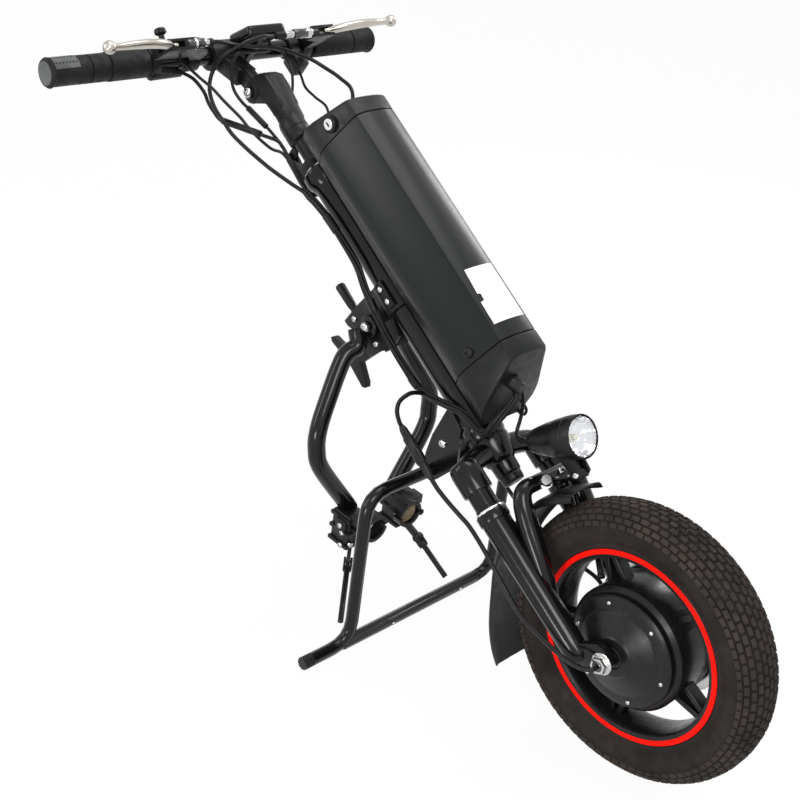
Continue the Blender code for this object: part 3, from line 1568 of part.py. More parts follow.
def motor_connector():
    route = [
        (-0.0368, 0.0155, 0.3590),
        (-0.0400, 0.0153, 0.3605),
        (-0.0520, 0.0157, 0.3632),
        (-0.0660, 0.0210, 0.3604),
        (-0.0760, 0.0226, 0.3510),
        (-0.0830, 0.0206, 0.3386),
        (-0.0868, 0.0172, 0.3312),
        (-0.0875, 0.0180, 0.2980),
        (-0.0880, 0.0188, 0.2614),
        (-0.0900, 0.0150, 0.2400),
        (-0.0915, 0.0150, 0.2220),
        (-0.0915, 0.0150, 0.2190),
    ]
    item = settle(wire("motor_connector", route, 0.0026))
    shell = rod("connector_shell", (-0.0869, 0.0171, 0.3300), (-0.0880, 0.0187, 0.2640), 0.0065, 16)
    add(item, shell)
    return keep(item, "motor_connector", CABLE_BLACK)


def motor_cable():
    route = [
        (-0.0812, 0.0135, 0.2140),
        (-0.0815, 0.0133, 0.2100),
        (-0.0825, 0.0119, 0.1942),
        (-0.0828, 0.0113, 0.1635),
        (-0.0830, 0.0140, 0.1296),
        (-0.0830, 0.0150, 0.0869),
        (-0.0835, 0.0030, 0.0507),
        (-0.0840, -0.0070, 0.0290),
        (-0.0850, -0.0200, 0.0120),
        (-0.0845, -0.0290, 0.0040),
        (-0.0815, WHEEL_OFFSET, 0.0),
        (-0.0758, WHEEL_OFFSET, 0.0),
    ]
    return keep(wire("motor_cable", route, 0.0026, 0.010), "motor_cable", CABLE_BLACK)


def brake_cable_lower():
    route = [
        (0.0300, 0.0460, 0.2150),
        (0.0305, 0.0458, 0.2110),
        (0.0340, 0.0440, 0.1800),
        (0.0460, 0.0360, 0.1200),
        (0.0575, 0.0290, 0.0850),
        (0.0585, 0.0276, 0.0700),
        (0.0585, 0.0275, 0.0640),
    ]
    return keep(wire("brake_cable_lower", route, 0.0025), "brake_cable_lower", CABLE_BLACK)


PIECES = [
    tyre,
    wheel_casting,
    hub_cover,
    brake_rotor,
    axle,
    stator,
    lambda: axle_nut(-1, "axle_nut_right"),
    lambda: axle_nut(1, "axle_nut_left"),
    lambda: lower_leg(-1, "lower_leg_right"),
    lambda: lower_leg(1, "lower_leg_left"),
    fork_arch,
    mudguard,
    brake_caliper,
    headlight_body,
    headlight_lens,
    fork_crown,
    lambda: stanchion(-1, "stanchion_right"),
    lambda: stanchion(1, "stanchion_left"),
    lock_nut,
    column_tube,
    battery_case,
    battery_top_cap,
    battery_bottom_cap,
    cell_pack,
    key_barrel,
    frame_bracket,
    lock_pin,
    frame_lever,
    stand,
    docking_frame,
    lambda: clamp_body(-1, "clamp_body_right"),
    lambda: clamp_body(1, "clamp_body_left"),
    lambda: clamp_jaw(-1, "clamp_jaw_right"),
    lambda: clamp_jaw(1, "clamp_jaw_left"),
    lambda: clamp_lever(-1, "clamp_lever_right"),
    lambda: clamp_lever(1, "clamp_lever_left"),
    stem_body,
    height_lever,
    stem_arm,
    handlebar,
    lambda: grip("grip_right", -BAR_HALF_LENGTH, -0.1710, 0.0168),
    lambda: grip("grip_left", BAR_HALF_LENGTH, 0.1450, 0.0165),
    throttle_sleeve,
    throttle_housing,
    right_perch,
    left_perch,
    lambda: brake_lever(-1, "brake_lever_right"),
    lambda: brake_lever(1, "brake_lever_left"),
    parking_knob,
    display,
    switch_box,
    brake_cable_right,
    brake_cable_left,
    control_harness,
    switch_cable,
    cable_loom,
    motor_connector,
    motor_cable,
    brake_cable_lower,
]

for piece in PIECES:
    piece()
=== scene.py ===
"""Visual model of a motorised front-wheel attachment for a wheelchair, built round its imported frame.

Shapes are drawn in the column's own frame, whose Z runs up the steering axis, and are placed in the
world as they become pieces. Metres.
"""

import json
import math

import bmesh
import bpy
from bpy.props import FloatProperty, FloatVectorProperty, IntProperty, PointerProperty
from mathutils import Matrix, Vector

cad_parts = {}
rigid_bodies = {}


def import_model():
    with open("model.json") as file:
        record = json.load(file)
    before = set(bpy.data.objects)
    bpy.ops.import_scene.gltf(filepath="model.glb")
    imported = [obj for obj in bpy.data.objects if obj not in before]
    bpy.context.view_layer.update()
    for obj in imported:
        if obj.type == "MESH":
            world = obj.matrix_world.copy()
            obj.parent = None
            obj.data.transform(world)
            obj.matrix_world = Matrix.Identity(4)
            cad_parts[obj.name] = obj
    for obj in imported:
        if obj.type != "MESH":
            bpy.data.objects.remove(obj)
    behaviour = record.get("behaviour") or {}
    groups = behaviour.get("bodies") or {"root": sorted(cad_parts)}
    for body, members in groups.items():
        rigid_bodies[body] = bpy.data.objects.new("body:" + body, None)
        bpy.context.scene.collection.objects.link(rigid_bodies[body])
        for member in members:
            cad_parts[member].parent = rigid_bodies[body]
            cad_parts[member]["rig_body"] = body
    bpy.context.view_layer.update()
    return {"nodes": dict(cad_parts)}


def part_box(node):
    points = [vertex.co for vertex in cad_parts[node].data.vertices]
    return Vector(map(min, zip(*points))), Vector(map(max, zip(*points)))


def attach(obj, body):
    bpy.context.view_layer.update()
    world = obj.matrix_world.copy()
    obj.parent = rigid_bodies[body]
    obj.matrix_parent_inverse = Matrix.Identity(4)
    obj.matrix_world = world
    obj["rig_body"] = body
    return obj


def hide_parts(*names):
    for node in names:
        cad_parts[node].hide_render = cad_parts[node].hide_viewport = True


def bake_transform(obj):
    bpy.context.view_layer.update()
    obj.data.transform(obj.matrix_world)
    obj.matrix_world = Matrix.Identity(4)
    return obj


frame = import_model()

bl_info = {
    "name": "Wheelchair power attachment",
    "version": (1, 0, 0),
    "blender": (4, 5, 0),
    "location": "3D View > Sidebar > Attachment",
    "description": "Builds the pieces of a motorised front-wheel attachment on its packed frame",
    "category": "Object",
}

# The column's frame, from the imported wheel
TYRE_LOW, TYRE_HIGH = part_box("tyre")
WHEEL_Y = (TYRE_LOW[1] + TYRE_HIGH[1]) / 2
TYRE_RADIUS = (TYRE_HIGH[2] - TYRE_LOW[2]) / 2
RECLINE = math.radians(32.5)
AXIS_FOOT_Y = 0.0184
AXIS_FOOT_Z = 0.1301
LEAN = Matrix.Rotation(RECLINE - math.pi / 2, 4, "X")
STEER = Matrix.Translation((0.0, WHEEL_Y + AXIS_FOOT_Y, AXIS_FOOT_Z)) @ LEAN
TO_STEER = STEER.inverted()

# The rider's two sides, and directions
SIDES = ((-1, "right"), (1, "left"))
ORIGIN = Vector((0.0, 0.0, 0.0))
X_AXIS = Vector((1.0, 0.0, 0.0))
Z_AXIS = Vector((0.0, 0.0, 1.0))

# Wheel and fork
WHEEL_CENTRE = Vector((0.0, -0.0343, 0.0))
CASING_CENTRE = 0.1330
CASING_HALF_WIDTH = 0.0293
CASING_SQUARENESS = 2.3
TREAD_HEIGHT = 0.0020
TREAD_ROW_TILT = 14.4
BLOCK_WIDTH = 0.0100
BLOCK_LENGTH = 0.0056
BLOCK_DEPTH = 0.0028
BLOCK_TAPER = 0.86
BLOCK_RISE = 0.97
SPOKE_PAIRS = 5
LEG_X = 0.060
LEG_Y = -0.005
STANCHION_RADIUS = 0.0127
YOKE_RADIUS = 0.0130

# Headlight, looking along the reach of the handlebar's levers
REACH = Vector((0.0, -0.9063, -0.4226))
LENS_CENTRE = Vector((0.0, -0.1245, 0.2092))
LAMP_BACK = LENS_CENTRE - REACH * 0.0750
LAMP_LEAD_END = LAMP_BACK + Vector((0.0, 0.0150, 0.0130))

# Battery; its ends slope, so each has a height at one place and a slope towards the rider
BATTERY_HALF_WIDTH = 0.0437
BATTERY_FRONT = -0.126
BATTERY_BACK = -0.036
BOTTOM_SEAM = 0.340
TOP_SEAM = 0.648
LID_HEIGHT = 0.6816
LID_PLACE = -0.0745
LID_SLOPE = 0.2257
BASE_HEIGHT = 0.2953
BASE_PLACE = -0.07096
BASE_SLOPE = -0.3879
BASE_NORMAL = Vector((0.0, 0.3616, 0.9323))

# Docking frame
BARREL = Vector((0.0, 0.0487, 0.4700))
DOCKING_TUBE_RADIUS = 0.011

# Handlebar; the grey pad's limits are degrees round the right grip
BAR = Vector((0.0, 0.041, 0.879))
BAR_RADIUS = 0.011
BAR_HALF_LENGTH = 0.247
STEM_PIVOT = Vector((0.0, 0.018, 0.800))
LEVER_AXIS = Vector((0.0, 0.4226, -0.9063))
ADJUSTER_REACH = 0.0690
DISPLAY_CENTRE = Vector((0.0310, -0.0003, 0.8717))
DISPLAY_TILT = 0.46
PAD_LOW = -20
PAD_HIGH = 75
PAD_MARGIN = 8
DOT_ROWS = 3
DOT_COLUMNS = 7
DOT_PITCH = 0.0044

# Heights on the steering axis between which a cable follows one body and then the next
BAR_TO_QUILL = (0.860, 0.800)
QUILL_TO_STEERING = (0.800, 0.720)
STEERING_TO_COLUMN = (0.700, 0.648)
COLUMN_TO_STEERING = (0.268, 0.225)
STEERING_TO_LOWERS = (0.225, 0.190)
PLUG_BAND = (0.2550, 0.2000)

# Where the stretch of cable on the column starts and ends, just outside those bands
COLUMN_TOP_CUT = 0.645
COLUMN_FOOT_CUT = 0.272

# Loom, with its twist in radians from one point of its line to the next, and the motor's lead
STRAND_COUNT = 5
STRAND_TWIST = 0.035
STRAND_RADIUS = 0.0020
BUNDLE_RADIUS = 0.0029
WRAP_RADIUS = 0.0053
MOTOR_LEAD_RADIUS = 0.0026

# Degrees between faces past which an edge stays sharp
SHARP = 38.0
CASE_SHARP = 24.0
DISC_SHARP = 30.0
FACET_SHARP = 6.0
TUBE_SHARP = 50.0
CABLE_SHARP = 60.0

# How finely round things are drawn
TYRE_STEPS = 160
RIM_STEPS = 128
HUB_STEPS = 96
CABLE_SIDES = 12
CABLE_SPACING = 0.0035


class AttachmentSizes(bpy.types.PropertyGroup):
    tread_rows: IntProperty(
        name="Tread rows", description="Rows of tread blocks across the tyre", default=11, min=3
    )
    tread_count: IntProperty(
        name="Tread blocks", description="Blocks in one row round the tyre", default=80, min=12
    )
    block_height: FloatProperty(
        name="Block height", description="Height of a tread block", default=TREAD_HEIGHT, unit="LENGTH"
    )
    cover_screws: IntProperty(
        name="Cover screws", description="Screws round the hub cover", default=6, min=3
    )
    screw_radius: FloatProperty(
        name="Screw radius", description="Radius of a small screw's head", default=0.0030, unit="LENGTH"
    )
    cable_radius: FloatProperty(
        name="Brake cable radius",
        description="Radius of a brake cable's sheath",
        default=0.0025,
        unit="LENGTH",
    )


class AttachmentColours(bpy.types.PropertyGroup):
    stripe: FloatVectorProperty(
        name="Rim stripe",
        description="Colour of the rim's stripe",
        subtype="COLOR",
        size=3,
        default=(0.93, 0.006, 0.002),
    )
    paint: FloatVectorProperty(
        name="Gloss paint",
        description="Colour of the tubes",
        subtype="COLOR",
        size=3,
        default=(0.0035, 0.0035, 0.0038),
    )
    case: FloatVectorProperty(
        name="Battery case",
        description="Colour of the battery case",
        subtype="COLOR",
        size=3,
        default=(0.0038, 0.0048, 0.0050),
    )
    tyre: FloatVectorProperty(
        name="Tyre",
        description="Colour of the tyre's rubber",
        subtype="COLOR",
        size=3,
        default=(0.0185, 0.0148, 0.0132),
    )


def from_ground(x, y, z):
    """Point given from the wheel's contact with the ground."""
    return TO_STEER @ Vector((x, WHEEL_Y + y, z))


# Finishes


NOISE_RANGE = (0.3, 0.7)
BUMP_STRENGTH = 0.6
COAT_ROUGHNESS = 0.06


def ramp(tree, source, low, high):
    """Maps the middle of a noise's values onto a range."""
    node = tree.nodes.new("ShaderNodeMapRange")
    node.inputs["From Min"].default_value = NOISE_RANGE[0]
    node.inputs["From Max"].default_value = NOISE_RANGE[1]
    node.inputs["To Min"].default_value = low
    node.inputs["To Max"].default_value = high
    tree.links.new(source, node.inputs["Value"])
    return node.outputs["Result"]


def noise(tree, scale, detail=4.0, stretch=(1.0, 1.0, 1.0)):
    """Noise on the piece's own coordinates, stretched along its grain."""
    place = tree.nodes.new("ShaderNodeTexCoord")
    mapping = tree.nodes.new("ShaderNodeMapping")
    mapping.inputs["Scale"].default_value = stretch
    mapping.inputs["Rotation"].default_value = (math.pi / 2 - RECLINE, 0.0, 0.0)
    texture = tree.nodes.new("ShaderNodeTexNoise")
    texture.inputs["Scale"].default_value = scale
    texture.inputs["Detail"].default_value = detail
    tree.links.new(place.outputs["Object"], mapping.inputs["Vector"])
    tree.links.new(mapping.outputs["Vector"], texture.inputs["Vector"])
    return texture.outputs["Fac"]


def finish(name, colour, roughness, metallic=0.0, mottle=0.25, patch=35.0, grain=900.0, relief=0.00004,
           coat=0.0, stretch=(1.0, 1.0, 1.0), specular=0.5):
    """Material with patchy colour and roughness and a fine grain."""
    material = bpy.data.materials.new(name)
    material.use_nodes = True
    tree = material.node_tree
    shader = tree.nodes["Principled BSDF"]
    shader.inputs["Metallic"].default_value = metallic
    shader.inputs["Specular IOR Level"].default_value = specular
    if coat:
        shader.inputs["Coat Weight"].default_value = coat
        shader.inputs["Coat Roughness"].default_value = COAT_ROUGHNESS
    patches = noise(tree, patch, 5.0)
    mix = tree.nodes.new("ShaderNodeMix")
    mix.data_type = "RGBA"
    mix.inputs["A"].default_value = (*[c * (1 - mottle) for c in colour], 1.0)
    mix.inputs["B"].default_value = (*[min(1.0, c * (1 + mottle)) for c in colour], 1.0)
    tree.links.new(ramp(tree, patches, 0.0, 1.0), mix.inputs["Factor"])
    tree.links.new(mix.outputs["Result"], shader.inputs["Base Color"])
    smoothest, roughest = roughness * (1 - mottle), min(1.0, roughness * (1 + mottle))
    rough = ramp(tree, noise(tree, patch * 3, 3.0), smoothest, roughest)
    tree.links.new(rough, shader.inputs["Roughness"])
    bump = tree.nodes.new("ShaderNodeBump")
    bump.inputs["Distance"].default_value = relief
    bump.inputs["Strength"].default_value = BUMP_STRENGTH
    tree.links.new(noise(tree, grain, 3.0, stretch), bump.inputs["Height"])
    tree.links.new(bump.outputs["Normal"], shader.inputs["Normal"])
    return material


def glass(name):
    """Clear moulded glass, almost without grain."""
    material = finish(name, (0.97, 0.98, 1.0), 0.03, mottle=0.01, relief=0.00001)
    shader = material.node_tree.nodes["Principled BSDF"]
    shader.inputs["Transmission Weight"].default_value = 1.0
    shader.inputs["IOR"].default_value = 1.49
    return material


def make_finishes():
    """Every material by its short name."""
    colours = bpy.context.scene.attachment_colours
    return {
        "gloss": finish(
            "gloss_black_paint", colours.paint, 0.17, mottle=0.15, grain=260.0, relief=0.00003,
            specular=0.30,
        ),
        "satin": finish("satin_black_metal", (0.008, 0.008, 0.0085), 0.36, grain=700.0, specular=0.22),
        "cast": finish(
            "cast_black_paint", (0.0065, 0.0065, 0.007), 0.30, grain=420.0, relief=0.00006, specular=0.26
        ),
        "case": finish(
            "battery_case_coating", colours.case, 0.30, mottle=0.05, grain=1400.0, relief=0.00003,
            stretch=(1.0, 1.0, 0.06), specular=0.26,
        ),
        "cap": finish(
            "battery_cap_plastic", (0.0055, 0.0062, 0.0064), 0.38, grain=1600.0, relief=0.00005,
            specular=0.24,
        ),
        "plastic": finish(
            "black_plastic", (0.0065, 0.0065, 0.007), 0.38, grain=1300.0, relief=0.00005, specular=0.22
        ),
        "grip": finish(
            "grip_rubber", (0.0075, 0.0075, 0.0075), 0.60, grain=1500.0, relief=0.00008, specular=0.22
        ),
        "grey": finish("grey_grip_rubber", (0.085, 0.090, 0.090), 0.70, grain=1500.0, relief=0.00010),
        "tyre": finish(
            "tyre_rubber", colours.tyre, 0.84, mottle=0.35, patch=22.0, grain=800.0, relief=0.00015,
            specular=0.14,
        ),
        "tread": finish(
            "worn_tread_rubber", (0.031, 0.0248, 0.0212), 0.86, mottle=0.35, patch=26.0, grain=700.0,
            relief=0.00015, specular=0.12,
        ),
        "sheath": finish(
            "cable_sheath", (0.0055, 0.0055, 0.006), 0.36, grain=600.0, relief=0.00004, specular=0.22
        ),
        "steel": finish("bright_steel", (0.56, 0.56, 0.55), 0.20, metallic=1.0, mottle=0.10, grain=900.0),
        "chrome": finish(
            "polished_chrome", (0.82, 0.82, 0.83), 0.07, metallic=1.0, mottle=0.05, relief=0.00002
        ),
        "brushed": finish(
            "brushed_alloy", (0.50, 0.47, 0.42), 0.26, metallic=1.0, mottle=0.10, relief=0.00001,
            stretch=(0.08, 1.0, 1.0),
        ),
        "dark_steel": finish("dark_steel", (0.10, 0.10, 0.11), 0.30, metallic=1.0, mottle=0.2),
        "stripe": finish("red_stripe_paint", colours.stripe, 0.45, mottle=0.04, specular=0.06),
        "paper": finish("label_paper", (0.86, 0.87, 0.90), 0.55, mottle=0.02, relief=0.00003),
        "tan": finish("tan_rubber", (0.33, 0.25, 0.16), 0.60, mottle=0.15),
        "screen": finish("dark_glass", (0.006, 0.007, 0.009), 0.05, mottle=0.1, relief=0.00001, coat=0.8),
        "led": finish("led_emitter", (0.85, 0.82, 0.66), 0.35, mottle=0.1),
        "copper": finish("copper_windings", (0.70, 0.34, 0.18), 0.35, metallic=1.0),
        "wrap": finish("cell_wrap", (0.05, 0.20, 0.45), 0.50),
        "lens": glass("clear_lens"),
    }


# Filled by main, before any piece is made
FINISH = {}


# Shapes, each a bmesh in the column's frame


def aim(direction):
    """Turn that takes the Z axis onto a direction."""
    return Vector(direction).normalized().to_track_quat("Z", "Y").to_matrix().to_4x4()


def settled(shape):
    """Shape with its doubles merged and its faces pointing out."""
    bmesh.ops.remove_doubles(shape, verts=shape.verts, dist=0.000002)
    bmesh.ops.recalc_face_normals(shape, faces=shape.faces)
    return shape


def turned(profile, centre=ORIGIN, direction=Z_AXIS, steps=64, closed=False):
    """Turned shape from (radius, height) pairs.

    A radius of nothing closes it to a pole, and a closed profile's last pair meets its first.
    """
    shape = bmesh.new()
    rings = []
    for radius, height in profile:
        if radius < 1e-6:
            rings.append([shape.verts.new((0.0, 0.0, height))])
            continue
        angles = [math.tau * step / steps for step in range(steps)]
        places = [(radius * math.cos(a), radius * math.sin(a), height) for a in angles]
        rings.append([shape.verts.new(place) for place in places])
    pairs = list(zip(rings, rings[1:]))
    if closed:
        pairs.append((rings[-1], rings[0]))
    for first, second in pairs:
        for step in range(steps):
            after = (step + 1) % steps
            if len(first) == len(second) == 1:
                break
            if len(first) == 1:
                shape.faces.new((first[0], second[step], second[after]))
            elif len(second) == 1:
                shape.faces.new((first[step], first[after], second[0]))
            else:
                shape.faces.new((first[step], first[after], second[after], second[step]))
    shape.transform(Matrix.Translation(centre) @ aim(direction))
    return settled(shape)


def ridged(start, end, radius, edge=0.0006, steps=32):
    """Round bar between two points, with its rims rounded off."""
    start, end = Vector(start), Vector(end)
    length = (end - start).length
    profile = [
        (0.0, 0.0), (radius - edge, 0.0), (radius - edge * 0.3, edge * 0.3), (radius, edge),
        (radius, length - edge), (radius - edge * 0.3, length - edge * 0.3), (radius - edge, length),
        (0.0, length),
    ]
    return turned(profile, start, end - start, steps)


def curved(points, spacing=0.004):
    """Evenly spaced points on a smooth curve through given ones."""
    points = [Vector(point) for point in points]
    ends = [2 * points[0] - points[1], *points, 2 * points[-1] - points[-2]]
    fine = []
    for index in range(1, len(ends) - 2):
        before, first, second, after = ends[index - 1 : index + 3]
        parts = max(2, round((second - first).length / spacing))
        for part in range(parts):
            t = part / parts
            fine.append(0.5 * (
                2 * first + (second - before) * t
                + (2 * before - 5 * first + 4 * second - after) * t * t
                + (3 * first - before - 3 * second + after) * t**3
            ))
    return fine + [points[-1]]


def swept(path, radius, sides=14, flatten=1.0, flat=Z_AXIS):
    """Bar along a path; radius may be one value or one for each point, and may be flattened one way."""
    path = [Vector(point) for point in path]
    radii = list(radius) if hasattr(radius, "__len__") else [radius] * len(path)
    shape = bmesh.new()
    rings = []
    last = len(path) - 1
    ahead = [(path[min(i + 1, last)] - path[max(i - 1, 0)]).normalized() for i in range(last + 1)]
    side = ahead[0].orthogonal().normalized()
    for point, along, size in zip(path, ahead, radii):
        if flatten == 1.0:
            side = (side - along * side.dot(along)).normalized()
        else:
            side = Vector(flat).cross(along).normalized()
        up = along.cross(side)
        rings.append([
            shape.verts.new(point + side * size * math.cos(a) + up * size * flatten * math.sin(a))
            for a in (math.tau * step / sides for step in range(sides))
        ])
    for first, second in zip(rings, rings[1:]):
        for step in range(sides):
            after = (step + 1) % sides
            shape.faces.new((first[step], first[after], second[after], second[step]))
    shape.faces.new(rings[0])
    shape.faces.new(rings[-1])
    return settled(shape)


def shell_between(sheets):
    """Closed shell from two sheets of points, one over the other, each a list of equal rows."""
    shape = bmesh.new()
    rims = []
    for sheet in sheets:
        grid = [[shape.verts.new(point) for point in row] for row in sheet]
        for first, second in zip(grid, grid[1:]):
            for step in range(len(first) - 1):
                shape.faces.new((first[step], first[step + 1], second[step + 1], second[step]))
        near_side = [row[0] for row in grid[-2:0:-1]]
        far_side = [row[-1] for row in grid[1:]]
        rims.append(grid[0] + far_side + grid[-1][-2::-1] + near_side)
    upper, lower = rims
    for step in range(len(upper)):
        after = (step + 1) % len(upper)
        shape.faces.new((upper[step], upper[after], lower[after], lower[step]))
    return settled(shape)


def bevelled(shape, width, segments, angle):
    """Rounds off every edge whose faces meet at more than an angle, in degrees."""
    limit = math.radians(angle)
    edges = [e for e in shape.edges if len(e.link_faces) == 2 and e.calc_face_angle(0.0) > limit]
    bmesh.ops.bevel(
        shape, geom=edges, offset=width, segments=segments, profile=0.6, affect="EDGES",
        clamp_overlap=True,
    )


def rounded(shape, width, segments=2):
    """New shape with its edges rounded off."""
    bmesh.ops.recalc_face_normals(shape, faces=shape.faces)
    bevelled(shape, width, segments, 25.0)
    return settled(shape)


def block(centre, size, width=0.001, turn=Matrix.Identity(4), segments=2):
    """Box with rounded edges."""
    shape = bmesh.new()
    bmesh.ops.create_cube(shape, size=1.0)
    bmesh.ops.scale(shape, vec=size, verts=shape.verts)
    shape.transform(Matrix.Translation(centre) @ turn)
    return rounded(shape, width, segments)


def side_plate(outline, x, thickness, width=0.0006):
    """Plate across X, with its outline as (y, z) pairs."""
    shape = bmesh.new()
    low = [shape.verts.new((x - thickness / 2, y, z)) for y, z in outline]
    high = [shape.verts.new((x + thickness / 2, y, z)) for y, z in outline]
    shape.faces.new(low)
    shape.faces.new(high)
    for index in range(len(outline)):
        after = (index + 1) % len(outline)
        shape.faces.new((low[index], low[after], high[after], high[index]))
    return rounded(shape, width)


def ball(centre, radius):
    """Round knob."""
    shape = bmesh.new()
    bmesh.ops.create_uvsphere(shape, u_segments=28, v_segments=16, radius=radius)
    shape.transform(Matrix.Translation(centre))
    return shape


def hexagon(start, end, radius, width=0.0005):
    """Six-sided nut or bolt head between two points."""
    start, end = Vector(start), Vector(end)
    shape = bmesh.new()
    depth = (end - start).length
    bmesh.ops.create_cone(shape, cap_ends=True, segments=6, radius1=radius, radius2=radius, depth=depth)
    shape.transform(Matrix.Translation((start + end) / 2) @ aim(end - start))
    return rounded(shape, width)


# Pieces


def piece(name, body, material, shapes, nodes=(), angle=SHARP):
    """One mesh object from several shapes, placed in the world and riding on a body."""
    mesh = bpy.data.meshes.new(name)
    joined = bmesh.new()
    for shape in shapes:
        part = bpy.data.meshes.new("part")
        shape.to_mesh(part)
        shape.free()
        joined.from_mesh(part)
        bpy.data.meshes.remove(part)
    joined.to_mesh(mesh)
    joined.free()
    mesh.transform(STEER)
    return seated(name, body, material, mesh, nodes, angle)


def seated(name, body, material, mesh, nodes=(), angle=SHARP):
    """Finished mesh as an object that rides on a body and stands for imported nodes."""
    mesh.shade_smooth()
    mesh.set_sharp_from_angle(angle=math.radians(angle))
    mesh.materials.clear()
    mesh.materials.append(FINISH[material])
    item = bpy.data.objects.new(name, mesh)
    bpy.context.scene.collection.objects.link(item)
    if body:
        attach(item, body)
    if nodes:
        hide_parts(*nodes)
    return item


def body_of(node):
    """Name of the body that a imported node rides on."""
    return frame["nodes"][node]["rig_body"]


def dressed(node, material, width=0.0, angle=SHARP):
    """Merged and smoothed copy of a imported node, shown in its place."""
    shape = bmesh.new()
    shape.from_mesh(frame["nodes"][node].data)
    bmesh.ops.remove_doubles(shape, verts=shape.verts, dist=0.00001)
    flat = math.radians(1.0)
    bmesh.ops.dissolve_limit(shape, angle_limit=flat, verts=shape.verts, edges=shape.edges)
    if width:
        bevelled(shape, width, 2, 45.0)
    mesh = bpy.data.meshes.new(node + "_shell")
    shape.to_mesh(mesh)
    shape.free()
    return seated(node + "_shell", body_of(node), material, mesh, [node], angle)


def place_tree(name):
    """Geometry Nodes that set one template on every point, turned to two directions kept on the points."""
    tree = bpy.data.node_groups.new(name, "GeometryNodeTree")
    sockets = (("Points", "Geometry"), ("Template", "Object"), ("Size", "Float"), ("Finish", "Material"))
    for label, kind in sockets:
        tree.interface.new_socket(label, in_out="INPUT", socket_type="NodeSocket" + kind)
    tree.interface.new_socket("Pieces", in_out="OUTPUT", socket_type="NodeSocketGeometry")
    start = tree.nodes.new("NodeGroupInput")
    end = tree.nodes.new("NodeGroupOutput")
    template = tree.nodes.new("GeometryNodeObjectInfo")
    tree.links.new(start.outputs["Template"], template.inputs["Object"])
    turn = None
    for attribute, axis, pivot in (("facing", "Z", "AUTO"), ("along", "X", "Z")):
        read = tree.nodes.new("GeometryNodeInputNamedAttribute")
        read.data_type = "FLOAT_VECTOR"
        read.inputs["Name"].default_value = attribute
        align = tree.nodes.new("FunctionNodeAlignRotationToVector")
        align.axis = axis
        align.pivot_axis = pivot
        tree.links.new(read.outputs["Attribute"], align.inputs["Vector"])
        if turn:
            tree.links.new(turn, align.inputs["Rotation"])
        turn = align.outputs["Rotation"]
    instances = tree.nodes.new("GeometryNodeInstanceOnPoints")
    realize = tree.nodes.new("GeometryNodeRealizeInstances")
    paint = tree.nodes.new("GeometryNodeSetMaterial")
    tree.links.new(start.outputs["Points"], instances.inputs["Points"])
    tree.links.new(template.outputs["Geometry"], instances.inputs["Instance"])
    tree.links.new(turn, instances.inputs["Rotation"])
    tree.links.new(start.outputs["Size"], instances.inputs["Scale"])
    tree.links.new(instances.outputs["Instances"], realize.inputs["Geometry"])
    tree.links.new(realize.outputs["Geometry"], paint.inputs["Geometry"])
    tree.links.new(start.outputs["Finish"], paint.inputs["Material"])
    tree.links.new(paint.outputs["Geometry"], end.inputs["Pieces"])
    return tree


def repeated(name, body, material, template, spots, size=1.0, angle=SHARP):
    """Copies of one small shape at (point, facing, along) spots, made by Geometry Nodes and baked."""
    mesh = bpy.data.meshes.new(name + "_points")
    mesh.from_pydata([spot[0] for spot in spots], [], [])
    for index, label in ((1, "facing"), (2, "along")):
        layer = mesh.attributes.new(label, "FLOAT_VECTOR", "POINT")
        for row, spot in zip(layer.data, spots):
            row.vector = spot[index]
    carrier = bpy.data.objects.new(name + "_points", mesh)
    shape = bpy.data.meshes.new(name + "_template")
    template.to_mesh(shape)
    template.free()
    source = bpy.data.objects.new(name + "_template", shape)
    for item in (carrier, source):
        bpy.context.scene.collection.objects.link(item)
    tree = place_tree(name + "_placing")
    modifier = carrier.modifiers.new("placing", "NODES")
    modifier.node_group = tree
    values = {"Template": source, "Size": size, "Finish": FINISH[material]}
    for socket in tree.interface.items_tree:
        if socket.name in values:
            modifier[socket.identifier] = values[socket.name]
    bpy.context.view_layer.update()
    graph = bpy.context.evaluated_depsgraph_get()
    baked = bpy.data.meshes.new_from_object(carrier.evaluated_get(graph))
    for item in (carrier, source):
        bpy.data.objects.remove(item, do_unlink=True)
    baked.transform(STEER)
    for attribute in ("facing", "along"):
        if attribute in baked.attributes:
            baked.attributes.remove(baked.attributes[attribute])
    return seated(name, body, material, baked, (), angle)


def screw_head():
    """Button head with a socket, one unit in radius, standing on its own origin."""
    profile = [
        (0.0, 0.42), (0.40, 0.42), (0.45, 0.66), (0.70, 0.60), (0.92, 0.38), (1.0, 0.10), (1.0, -0.3),
        (0.0, -0.3),
    ]
    return turned(profile, steps=14)


def screws(name, body, spots, radius, material="steel"):
    """Screw heads at (point, direction) spots."""
    spots = [(Vector(p), Vector(d).normalized(), Vector(d).orthogonal()) for p, d in spots]
    return repeated(name, body, material, screw_head(), spots, radius)


# Wheel


def wheel_point(radius, angle, x):
    """Point about the wheel, with the angle measured from forward to up."""
    leaned = angle + RECLINE
    return WHEEL_CENTRE + Vector((x, radius * math.cos(leaned), radius * math.sin(leaned)))


def wheel_ring(profile, side=1, steps=RIM_STEPS):
    """Closed ring about the wheel from (radius, offset) pairs, on one side or the other."""
    return turned([(r, side * x) for r, x in profile], WHEEL_CENTRE, X_AXIS, steps, closed=True)


def casing_point(angle):
    """Tyre section as (radius, offset) at an angle from the crown."""
    high = TYRE_RADIUS - CASING_CENTRE - TREAD_HEIGHT
    out, across = math.cos(angle), math.sin(angle)
    power = CASING_SQUARENESS
    bulge = (abs(out) ** power + abs(across) ** power) ** (-1 / power)
    return CASING_CENTRE + high * bulge * out, CASING_HALF_WIDTH * bulge * across


